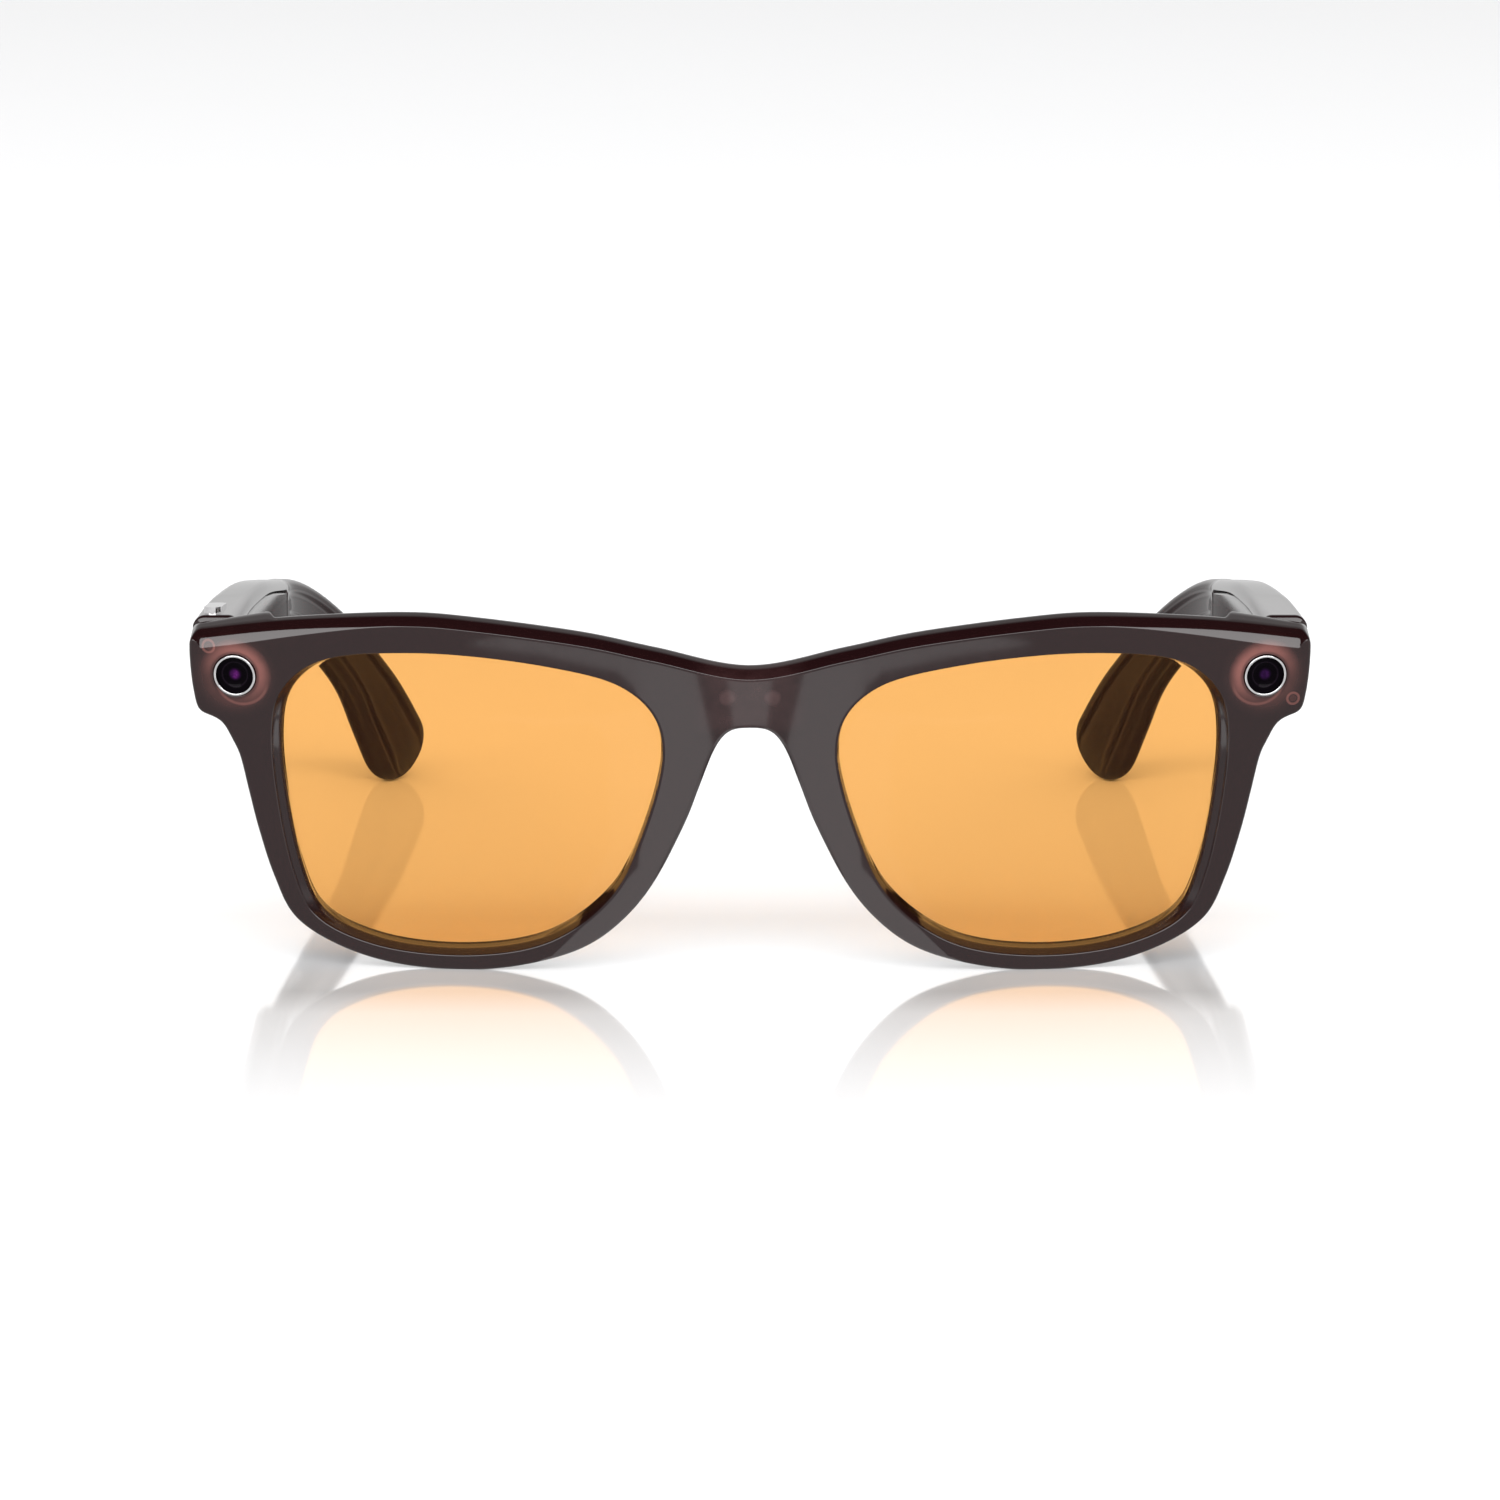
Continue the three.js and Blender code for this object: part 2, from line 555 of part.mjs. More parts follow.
function bridgePieces() {
  const [half, tall] = [PLATE_WIDTH / 2, PLATE_HEIGHT / 2];
  const body = block(-half, half, PLATE_FRONT, FRONT_THICKNESS, PLATE_W - tall, PLATE_W + tall);
  const contact = rodY(CONTACT_RADIUS, PLATE_FRONT + CLEARANCE / 2, FRONT_THICKNESS + CONTACT_PROUD, 16);
  const hole = rodY(CONTACT_RADIUS + CLEARANCE, PLATE_FRONT - 1, FRONT_THICKNESS + 1, 16);
  const at = (geometry, side) => geometry.clone().translate((side * CONTACT_SPACING) / 2, 0, PLATE_W);
  const mic = rodY(MIC_RADIUS, CHANNEL_FLOOR - MIC_THICKNESS, CHANNEL_FLOOR, 12);
  return [
    piece("charging_plate", cut(body, at(hole, 1), at(hole, -1)), BLACK),
    piece("charging_contact_left", at(contact, 1), GOLD),
    piece("charging_contact_right", at(contact, -1), GOLD),
    piece("bridge_microphone", mic.translate(0, 0, MIC_W), FOIL),
  ];
}

// A smooth cushion with a flat base against the back of the rim.
function nosePad() {
  const steps = 5;
  const profile = [new THREE.Vector2(0, 0), new THREE.Vector2(0.94, 0)];
  for (let i = 0; i < steps; i += 1) {
    const angle = (i / steps) * (Math.PI / 2);
    profile.push(new THREE.Vector2(Math.cos(angle), 0.12 + 0.88 * Math.sin(angle)));
  }
  profile.push(new THREE.Vector2(0, 1));
  const dome = new THREE.LatheGeometry(profile, 20);
  dome.scale(PAD_WIDTH / 2, PAD_DEPTH, PAD_HEIGHT / 2);
  dome.rotateZ(radians(PAD_SPLAY)).rotateY(radians(PAD_TILT));
  const u = PAD_SPACING / 2;
  const base = FRONT_THICKNESS + frontDepth(u + PAD_WIDTH) + CLEARANCE;
  return dome.translate(u, base, PAD_RAISE);
}

// ---- Hinges ----

// Knuckles along the pin: the front has the outer two, the temple the middle one.
const KNUCKLE_PITCH = HINGE_KNUCKLE + CLEARANCE;
const HINGE_HALF = KNUCKLE_PITCH + HINGE_KNUCKLE / 2;
const pinHole = () => rodZ(PIN_RADIUS + CLEARANCE, -HINGE_LEAF_HEIGHT, HINGE_LEAF_HEIGHT, 12);

function frontLeaf() {
  const [half, r] = [HINGE_LEAF_HEIGHT / 2, HINGE_BARREL];
  const back = -r - CLEARANCE;
  const leaf = block(-r, HINGE_FRONT_LEAF - r, back - HINGE_PLATE, back, -half, half);
  const knuckles = [-1, 1].flatMap((end) => {
    const [low, high] = [end * KNUCKLE_PITCH - HINGE_KNUCKLE / 2, end * KNUCKLE_PITCH + HINGE_KNUCKLE / 2];
    return [rodZ(r, low, high), block(-r, r, back - HINGE_PLATE / 2, 0, low, high)];
  });
  return cut(join(leaf, ...knuckles), pinHole());
}

function frontLeafPocket() {
  const [half, r] = [HINGE_LEAF_HEIGHT / 2 + CLEARANCE, HINGE_BARREL];
  const back = -r - CLEARANCE;
  const depth = HINGE_PLATE + CLEARANCE;
  return block(-r - CLEARANCE, HINGE_FRONT_LEAF - r + CLEARANCE, back - depth, back + 1, -half, half);
}

function hingeScrew() {
  const seat = HINGE_HALF + CLEARANCE;
  const head = rodZ(SCREW_HEAD_RADIUS, seat, seat + SCREW_HEAD_HEIGHT);
  const [long, narrow] = [2 * SCREW_HEAD_RADIUS, SCREW_SLOT / 2];
  const [low, high] = [seat + SCREW_HEAD_HEIGHT / 2, seat + 2 * SCREW_HEAD_HEIGHT];
  const slot = block(-long, long, -narrow, narrow, low, high);
  const shank = rodZ(PIN_RADIUS, -seat, seat + SCREW_HEAD_HEIGHT / 4, 12);
  return cut(join(shank, head), slot);
}

// ---- Front: assembly ----

function frontFrame() {
  const shape = new THREE.Shape(frontOutline());
  shape.holes.push(new THREE.Path(openingOutline(1)), new THREE.Path(openingOutline(-1)));
  const rims = wrap(plate(shape, 0, FRONT_THICKNESS, FRONT_EDGE));
  const blockFront = (frontDepth(HALF_WIDTH) + frontDepth(END_INNER) + FRONT_THICKNESS) / 2;
  const ends = plate(new THREE.Shape(frontOutline()), blockFront, END_PLANE);
  const [far, low] = [HALF_WIDTH + 5, END_BOTTOM - 2];
  const right = keep(ends, block(END_INNER, far, 0, 2 * END_PLANE, low, 2 * END_TOP));
  const left = keep(ends, block(-far, -END_INNER, 0, 2 * END_PLANE, low, 2 * END_TOP));
  const grooves = [1, -1].map((side) => lensBody(side, LENS_SEAT + CLEARANCE, CLEARANCE));
  const pocket = frontLeafPocket().translate(HINGE_U, HINGE_T, HINGE_W);
  const pockets = [1, -1].map((side) => forSide(side, pocket));
  const cuts = [...grooves, ...eyeCuts(1), ...eyeCuts(-1), ...pockets, ...channelCuts()];
  return cut(join(rims, right, left), ...cuts);
}

function frontAssembly() {
  const front = new THREE.Group();
  front.add(piece("front_frame", frontFrame(), FRAME));
  front.add(...browPieces(), ...bridgePieces());
  front.add(...eyePieces(-1, "camera", "camera_barrel", BARREL_RADIUS, BLACK));
  front.add(...eyePieces(1, "light", "light_guide", GUIDE_RADIUS, CLEAR));
  for (const [side, name] of [[1, "left"], [-1, "right"]]) {
    const atHinge = (geometry) => forSide(side, geometry.translate(HINGE_U, HINGE_T, HINGE_W));
    front.add(
      piece(`lens_${name}`, lensBody(side, LENS_SEAT, 0), LENS),
      piece(`nose_pad_${name}`, forSide(side, nosePad()), PAD),
      piece(`hinge_front_leaf_${name}`, atHinge(frontLeaf()), STEEL),
      piece(`hinge_screw_${name}`, atHinge(hingeScrew()), STEEL),
    );
  }
  front.rotation.x = radians(FRONT_LEAN);
  front.updateMatrixWorld(true);
  const box = new THREE.Box3().setFromObject(front, true);
  front.position.z = -box.min.z;
  front.updateMatrixWorld(true);
  return front;
}

// ---- Temples ----

// The left temple in its own frame: the origin is the middle of the hinge pin and the axes are those of the
// glasses. Distances along it start at its hinge end.
const SECTION_SIDES = 16;
const EAR_MIDDLE = HOUSING_LENGTH + 40;
const PADDLE_START = HOUSING_LENGTH + TIP_GROWTH;
const HEIGHTS_END = HOUSING_LENGTH + SPINE_BEYOND;
const upperHeight = curveThrough([
  [0, TEMPLE_RISE_FRONT], [MIDDLE_START / 2, TEMPLE_RISE_BUTTON], [MIDDLE_START, TEMPLE_HEIGHT_MIDDLE / 2],
  [MIDDLE_END, TEMPLE_HEIGHT_MIDDLE / 2 - 0.1], [HOUSING_LENGTH - REAR_TAPER, TEMPLE_RISE_REAR + 0.5],
  [HOUSING_LENGTH + 2, TEMPLE_RISE_REAR - 0.1], [EAR_START, EAR_HEIGHT / 2], [EAR_MIDDLE, EAR_HEIGHT / 2],
  [PADDLE_START, TIP_RADIUS], [HEIGHTS_END, TIP_RADIUS],
]);
const lowerHeight = curveThrough([
  [0, TEMPLE_DROP_FRONT], [MIDDLE_START, TEMPLE_HEIGHT_MIDDLE / 2], [MIDDLE_END, TEMPLE_HEIGHT_MIDDLE / 2],
  [HOUSING_LENGTH - REAR_TAPER, TEMPLE_DROP_REAR + 0.2], [HOUSING_LENGTH, TEMPLE_DROP_REAR],
  [EAR_START, EAR_DROP], [EAR_MIDDLE, EAR_HEIGHT / 2], [PADDLE_START, TIP_RADIUS],
  [HEIGHTS_END, TIP_RADIUS],
]);

const ramp = (value) => Math.min(1, Math.max(0, value));
const smoothRamp = (value) => ramp(value) ** 2 * (3 - 2 * ramp(value));
const upper = (s) => heightAt(upperHeight, s);

function lower(s) {
  const behind = ramp((s - HOUSING_LENGTH) / STEP_LENGTH);
  const fading = ramp(1 - (s - HOUSING_LENGTH - STEP_LENGTH) / STEP_FADE);
  return heightAt(lowerHeight, s) - STEP_HEIGHT * behind * fading;
}

function thickness(s) {
  const housing = TEMPLE_THICKNESS + (TEMPLE_THICKNESS_REAR - TEMPLE_THICKNESS) * ramp(s / HOUSING_LENGTH);
  const ear = EAR_THICKNESS + (TIP_THICKNESS - EAR_THICKNESS) * ramp((s - EAR_START) / EAR_RADIUS);
  return housing + (ear - housing) * smoothRamp((s - HOUSING_LENGTH) / SLIMMING_LENGTH);
}

const EAR_ARC = EAR_RADIUS * radians(EAR_PITCH - TEMPLE_PITCH);

// Straight length behind the bend that brings the tip down to the surface, below a hinge pin of this height.
function paddleLength(hingeHeight) {
  const [start, stop] = [radians(TEMPLE_PITCH), radians(EAR_PITCH)];
  const fall = hingeHeight - TIP_RADIUS - EAR_START * Math.sin(start);
  return (fall - EAR_RADIUS * (Math.cos(start) - Math.cos(stop))) / Math.sin(stop);
}

// Places along the outer face at the middle of its height, with the outward, along and up directions.
function templeSpine(hingeHeight) {
  const step = 0.5;
  const bendEnd = EAR_START + EAR_ARC;
  const end = bendEnd + paddleLength(hingeHeight);
  const places = [];
  const point = new THREE.Vector3(HALF_WIDTH - HINGE_U, -HINGE_BARREL, 0);
  for (let s = 0; s <= end + TIP_RADIUS + step; s += step) {
    const pitch = radians(TEMPLE_PITCH + (EAR_PITCH - TEMPLE_PITCH) * ramp((s - EAR_START) / EAR_ARC));
    const turned = smoothRamp((s - YAW_START) / (bendEnd - YAW_START));
    const yaw = radians(TEMPLE_TAPER + EAR_YAW * turned);
    const flat = Math.cos(pitch);
    const along = new THREE.Vector3(-Math.sin(yaw) * flat, Math.cos(yaw) * flat, -Math.sin(pitch));
    const out = new THREE.Vector3(Math.cos(yaw), Math.sin(yaw), 0);
    places.push({ point: point.clone(), along, out, up: out.clone().cross(along) });
    point.addScaledVector(along, step);
  }
  return { places, step, end };
}

function placeAt(spine, s) {
  const index = Math.min(spine.places.length - 2, Math.max(0, Math.floor(s / spine.step)));
  const [here, next] = [spine.places[index], spine.places[index + 1]];
  const share = s / spine.step - index;
  const between = (key) => here[key].clone().lerp(next[key], share);
  return { point: between("point"), along: between("along"), out: between("out"), up: between("up") };
}

// Corner points of a rounded rectangle, as distances inwards from the outer face and up from the middle.
function sectionPoint(index, { out, inner, up, low, round }) {
  const corner = Math.floor(index / 4);
  const angle = ((corner + (index % 4) / 3) * Math.PI) / 2;
  const radius = Math.min(round, (inner - out) / 2 - 0.01, (up + low) / 2 - 0.01);
  const [left, top] = [corner === 1 || corner === 2, corner < 2];
  const inwards = left ? inner - radius : out + radius;
  const upwards = top ? up - radius : radius - low;
  return [inwards - radius * Math.cos(angle), upwards + radius * Math.sin(angle)];
}

// A closed body through sections at the given distances along the temple.
function templeBody(spine, distances, sectionAt, leaning = false) {
  const rows = distances.length - 1;
  const body = new THREE.CylinderGeometry(1, 1, 1, SECTION_SIDES, rows);
  const position = body.attributes.position;
  const lean = Math.tan(radians(FRONT_LEAN));
  for (let i = 0; i < position.count; i += 1) {
    const [x, y, z] = [position.getX(i), position.getY(i), position.getZ(i)];
    const s = distances[Math.round((0.5 - y) * rows)];
    const turn = (Math.atan2(-z, x) / (2 * Math.PI) + 1) % 1;
    const index = Math.round(turn * SECTION_SIDES) % SECTION_SIDES;
    const section = sectionAt(s);
    const middle = [(section.out + section.inner) / 2, (section.up - section.low) / 2];
    const [inwards, upwards] = Math.hypot(x, z) < 0.5 ? middle : sectionPoint(index, section);
    const place = placeAt(spine, s);
    const outer = place.point.clone().addScaledVector(place.up, upwards);
    const point = outer.addScaledVector(place.out, -inwards);
    const share = leaning ? ramp(1 - s / LEAN_LENGTH) : 0;
    const square = place.up.y * upwards;
    point.y -= share * (square + point.z * lean);
    position.setXYZ(i, point.x, point.y, point.z);
  }
  return body;
}

// Distances from one place to another, no further apart than a pitch.
function spread(from, to, pitch) {
  const count = Math.max(1, Math.ceil((to - from) / pitch));
  return Array.from({ length: count + 1 }, (_, i) => from + ((to - from) * i) / count);
}

// A bar inside the housing: distances in from the outer face, and margins from the top and underside.
function bar(spine, from, to, out, inner, topMargin, lowMargin = topMargin, round = 0.3) {
  const section = (s) => ({
    out: out(s), inner: inner(s), up: upper(s) - topMargin, low: lower(s) - lowMargin, round,
  });
  return templeBody(spine, spread(from, to, 14), section);
}

const POCKET_END = HOUSING_LENGTH - POCKET_END_WALL;
const innerFace = (s) => thickness(s);
const behindCover = (s) => thickness(s) - COVER_THICKNESS - CLEARANCE;
const fromOuter = (distance) => () => distance;

// Puts a piece that was drawn with x outwards, y along and z up at a place on the temple.
function setAt(spine, s, inwards, upwards, geometry) {
  const place = placeAt(spine, s);
  const point = place.point.clone().addScaledVector(place.out, -inwards).addScaledVector(place.up, upwards);
  const frame = new THREE.Matrix4().makeBasis(place.out, place.along, place.up).setPosition(point);
  return geometry.applyMatrix4(frame);
}

// A bar with round ends, standing on its lower face.
function pill(length, width, height) {
  const [radius, half] = [width / 2, (length - width) / 2];
  const shape = new THREE.Shape();
  shape.absarc(0, half, radius, 0, Math.PI);
  shape.absarc(0, -half, radius, Math.PI, 2 * Math.PI);
  return new THREE.ExtrudeGeometry(shape, { depth: height, bevelEnabled: false, curveSegments: 8 });
}

function templeSections(spine) {
  const earStep = 5;
  const tip = [0.35, 0.6, 0.8, 0.92, 0.985].map((share) => spine.end + share * TIP_RADIUS);
  return [
    0, LEAN_LENGTH / 2, ...spread(LEAN_LENGTH, YAW_START, 11), HOUSING_LENGTH, HOUSING_LENGTH + STEP_LENGTH,
    ...spread(HOUSING_LENGTH + earStep, spine.end, earStep), ...tip,
  ];
}

function shellSection(spine) {
  return (s) => {
    const past = ramp((s - spine.end) / TIP_RADIUS);
    const share = (1 - past ** TIP_ROUNDING) ** (1 / TIP_ROUNDING);
    const thick = thickness(s);
    const slim = (1 - 0.6 * past) * thick;
    return {
      out: (thick - slim) / 2, inner: (thick + slim) / 2, up: upper(s) * share, low: lower(s) * share,
      round: TEMPLE_CORNER,
    };
  };
}

function templeLeaf() {
  const wall = HALF_WIDTH - HINGE_U - TEMPLE_THICKNESS; // pin to the temple's inner face
  const half = HINGE_LEAF_HEIGHT / 2 - LEAF_SHORTER;
  const start = HINGE_BARREL - LEAF_BACK;
  const leaf = block(wall, wall + HINGE_PLATE, start, start + HINGE_TEMPLE_LEAF, -half, half);
  const tall = HINGE_KNUCKLE / 2;
  const knuckle = rodZ(HINGE_BARREL, -tall, tall).rotateX(radians(FRONT_LEAN));
  const web = block(0, wall + HINGE_PLATE / 2, start, HINGE_BARREL, -tall, tall);
  return cut(join(leaf, knuckle, web.rotateX(radians(FRONT_LEAN))), pinHole().rotateX(radians(FRONT_LEAN)));
}

function templeLeafPocket() {
  const wall = HALF_WIDTH - HINGE_U - TEMPLE_THICKNESS;
  const half = HINGE_LEAF_HEIGHT / 2 - LEAF_SHORTER + CLEARANCE;
  const start = HINGE_BARREL - LEAF_BACK - CLEARANCE;
  const end = start + HINGE_TEMPLE_LEAF + 2 * CLEARANCE;
  return block(wall - 2, wall + HINGE_PLATE + CLEARANCE, start, end, -half, half);
}

const GRILLE_START = POCKET_END - 1 - GRILLE_LENGTH;

function grilleBody(spine, grow, depth, below) {
  const section = (s) => ({
    out: GRILLE_OUT - grow, inner: GRILLE_OUT + GRILLE_WIDTH + grow, up: depth - lower(s),
    low: lower(s) + below, round: 0.2,
  });
  return templeBody(spine, spread(GRILLE_START - grow, GRILLE_START + GRILLE_LENGTH + grow, 14), section);
}

function grille(spine) {
  const half = GRILLE_WIDTH / 2 - GRILLE_FRAME;
  const slots = Array.from({ length: GRILLE_SLOTS }, (_, i) => {
    const s = GRILLE_START + ((i + 1) * GRILLE_LENGTH) / (GRILLE_SLOTS + 1);
    const slot = block(-half, half, -GRILLE_SLOT / 2, GRILLE_SLOT / 2, -GRILLE_WIDTH, GRILLE_WIDTH);
    return setAt(spine, s, GRILLE_OUT + GRILLE_WIDTH / 2, -lower(s), slot);
  });
  return cut(grilleBody(spine, 0, GRILLE_THICKNESS, 0), ...slots);
}

function coreBody(spine, radius, from, to) {
  const middle = EAR_THICKNESS / 2;
  const [out, inner] = [middle - radius, middle + radius];
  const section = () => ({ out, inner, up: radius, low: radius, round: radius });
  return templeBody(spine, spread(from, to, 5), section);
}

const CORE_START = POCKET_END + CLEARANCE;
const BUTTON_WELL = BUTTON_PROUD - BUTTON_DEPTH - BUTTON_TRAVEL - SWITCH_HEIGHT - 2 * CLEARANCE;
const BUTTON_TOP = upper(BUTTON_PLACE);

function buttonTools(spine) {
  const depth = BUTTON_DEPTH - BUTTON_WELL;
  const well = pill(BUTTON_LENGTH + 2 * CLEARANCE, BUTTON_WIDTH + 2 * CLEARANCE, depth);
  const [half, reach] = [WIRE_WIDTH / 2, POCKET_START - BUTTON_PLACE + 1];
  const wire = block(-half, half, 0, reach, BUTTON_WELL, BUTTON_WELL + WIRE_HEIGHT);
  return [
    setAt(spine, BUTTON_PLACE, BUTTON_INSET, BUTTON_TOP + BUTTON_WELL, well),
    setAt(spine, BUTTON_PLACE, BUTTON_INSET, BUTTON_TOP, wire),
  ];
}

function templeShell(spine, side) {
  const body = templeBody(spine, templeSections(spine), shellSection(spine), true);
  const beyond = (s) => thickness(s) + 1;
  const pocket = bar(spine, POCKET_START, POCKET_END, fromOuter(SHELL_WALL), beyond, SHELL_EDGE_WALL);
  const speakerPort = grilleBody(spine, CLEARANCE, SHELL_EDGE_WALL + 0.6, 1);
  const boreEnd = CORE_START + CORE_LENGTH + CLEARANCE;
  const bore = coreBody(spine, CORE_RADIUS + CLEARANCE, POCKET_END - 1, boreEnd);
  const tools = [templeLeafPocket(), pocket, speakerPort, bore];
  if (side < 0) tools.push(...buttonTools(spine));
  return cut(body, ...tools);
}

function templeCover(spine, side) {
  const [from, to] = [POCKET_START + CLEARANCE, POCKET_END - CLEARANCE];
  const inner = (s) => thickness(s) - COVER_THICKNESS;
  const cover = bar(spine, from, to, inner, innerFace, SHELL_EDGE_WALL + CLEARANCE);
  if (side < 0) return cover;
  const length = SLIDER_LENGTH + SLIDER_TRAVEL + 2 * CLEARANCE;
  const half = SLIDER_HEIGHT / 2 + CLEARANCE;
  const start = -SLIDER_LENGTH / 2 - CLEARANCE;
  const slot = block(-2 * COVER_THICKNESS, 2 * COVER_THICKNESS, start, start + length, -half, half);
  return cut(cover, setAt(spine, SLIDER_PLACE, thickness(SLIDER_PLACE), 0, slot));
}

function sharedTemplePieces(spine, side, name) {
  const under = SHELL_EDGE_WALL + CLEARANCE;
  const speakerStart = POCKET_END - CLEARANCE - SPEAKER_LENGTH;
  const inWall = fromOuter(SHELL_WALL + CLEARANCE);
  const speakerEnd = speakerStart + SPEAKER_LENGTH;
  const speaker = bar(spine, speakerStart, speakerEnd, inWall, behindCover, under, SPEAKER_MARGIN);
  const micStart = POCKET_START + CLEARANCE;
  const micSection = (s) => ({
    out: MIC_OUT, inner: MIC_OUT + TEMPLE_MIC_THICKNESS, up: under + TEMPLE_MIC_HEIGHT - lower(s),
    low: lower(s) - under, round: 0.2,
  });
  const mic = templeBody(spine, [micStart, micStart + MIC_LENGTH], micSection);
  const core = coreBody(spine, CORE_RADIUS, CORE_START, CORE_START + CORE_LENGTH);
  return [
    piece(`temple_shell_${name}`, forSide(side, templeShell(spine, side)), FRAME),
    piece(`temple_cover_${name}`, forSide(side, templeCover(spine, side)), FRAME),
    piece(`hinge_temple_leaf_${name}`, forSide(side, templeLeaf()), STEEL),
    piece(`tip_core_${name}`, forSide(side, core), STEEL),
    piece(`speaker_${name}`, forSide(side, speaker), BLACK),
    piece(`speaker_grille_${name}`, forSide(side, grille(spine)), BLACK),
    piece(`temple_microphone_${name}`, forSide(side, mic), FOIL),
  ];
}

// Battery, its protection board and the power switch.
function leftPieces(spine) {
  const margin = SHELL_EDGE_WALL + 2 * CLEARANCE;
  const inWall = fromOuter(SHELL_WALL + CLEARANCE);
  const batteryEnd = BATTERY_START + BATTERY_LENGTH;
  const battery = bar(spine, BATTERY_START, batteryEnd, inWall, behindCover, margin, margin, 1.2);
  const boardOut = fromOuter(SHELL_WALL + CLEARANCE + BOARD_THICKNESS);
  const guardEnd = batteryEnd + CLEARANCE + GUARD_LENGTH;
  const guard = bar(spine, batteryEnd + CLEARANCE, guardEnd, inWall, boardOut, margin);
  const underCover = thickness(SLIDER_PLACE) - COVER_THICKNESS - CLEARANCE;
  const middle = SLIDER_TRAVEL / 2;
  const [long, tall, deep] = [SLIDER_BASE_LENGTH / 2, SLIDER_BASE_HEIGHT / 2, SLIDER_BASE_THICKNESS];
  const base = block(0, deep, middle - long, middle + long, -tall, tall);
  const knobDepth = COVER_THICKNESS + SLIDER_PROUD;
  const [knobLong, knobTall] = [SLIDER_LENGTH / 2, SLIDER_HEIGHT / 2];
  const knob = block(0, knobDepth, -knobLong, knobLong, -knobTall, knobTall);
  const knobOut = thickness(SLIDER_PLACE) + SLIDER_PROUD;
  return [
    piece("battery", battery, FOIL),
    piece("battery_board", guard, BOARD),
    piece("switch_base", setAt(spine, SLIDER_PLACE, underCover, 0, base), BLACK),
    piece("power_switch", setAt(spine, SLIDER_PLACE, knobOut, 0, knob), BLACK),
  ];
}

// Touch film, main board with its shield can, and the capture button with its switch.
function rightPieces(spine) {
  const margin = SHELL_EDGE_WALL + 2 * CLEARANCE;
  const filmOut = SHELL_WALL + FILM_GAP;
  const boardOut = SHELL_WALL + BOARD_GAP;
  const boardIn = boardOut + BOARD_THICKNESS;
  const boardEnd = BOARD_START + BOARD_LENGTH;
  const filmIn = filmOut + FILM_THICKNESS;
  const film = bar(spine, BOARD_START, boardEnd, fromOuter(filmOut), fromOuter(filmIn), margin);
  const board = bar(spine, BOARD_START, boardEnd, fromOuter(boardOut), fromOuter(boardIn), margin);
  const [shieldEnd, shieldOut] = [SHIELD_START + SHIELD_LENGTH, fromOuter(boardIn + CLEARANCE)];
  const shield = bar(spine, SHIELD_START, shieldEnd, shieldOut, behindCover, margin + 1);
  const button = pill(BUTTON_LENGTH, BUTTON_WIDTH, BUTTON_DEPTH);
  const half = SWITCH_WIDTH / 2;
  const click = block(-half, half, -SWITCH_LENGTH / 2, SWITCH_LENGTH / 2, 0, SWITCH_HEIGHT);
  const floor = BUTTON_TOP + BUTTON_WELL + CLEARANCE / 2;
  const rest = BUTTON_TOP + BUTTON_PROUD - BUTTON_DEPTH;
  return [
    piece("touch_film", mirrored(film), COPPER),
    piece("main_board", mirrored(board), BOARD),
    piece("shield_can", mirrored(shield), FOIL),
    piece("capture_button", mirrored(setAt(spine, BUTTON_PLACE, BUTTON_INSET, rest, button)), SILVER),
    piece("button_switch", mirrored(setAt(spine, BUTTON_PLACE, BUTTON_INSET, floor, click)), FOIL),
  ];
}

// The paddle's length is set so that the lowest point of the tip just reaches the surface.
function standingSpine(hingeHeight) {
  let fall = hingeHeight;
  for (let i = 0; i < 3; i += 1) {
    const spine = templeSpine(fall);
    const body = templeBody(spine, templeSections(spine), shellSection(spine));
    body.computeBoundingBox();
    fall += body.boundingBox.min.z + hingeHeight;
  }
  return templeSpine(fall);
}

function templeAssembly(front, side, name) {
  const temple = new THREE.Group();
  temple.position.copy(front.localToWorld(new THREE.Vector3(side * HINGE_U, HINGE_T, HINGE_W)));
  const spine = standingSpine(temple.position.z);
  temple.add(...sharedTemplePieces(spine, side, name));
  temple.add(...(side > 0 ? leftPieces(spine) : rightPieces(spine)));
  return temple;
}

// ---- The whole ----

function glasses() {
  const whole = new THREE.Group();
  const front = frontAssembly();
  whole.add(front, templeAssembly(front, 1, "left"), templeAssembly(front, -1, "right"));
  const box = new THREE.Box3().setFromObject(whole, true);
  whole.position.set(0, -(box.min.y + box.max.y) / 2, -box.min.z);
  whole.updateMatrixWorld(true);
  return whole;
}

export default glasses();
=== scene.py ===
# The looks of the smart glasses: smooth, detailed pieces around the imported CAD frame, with their
# materials, the studio and the camera. Metres in the scene and millimetres in the outlines below.
# +X is the wearer's left, -Y is the front and +Z is up.
import json
import math

import bmesh
import bpy
import numpy as np
from mathutils import Matrix, Vector
from mathutils.geometry import delaunay_2d_cdt

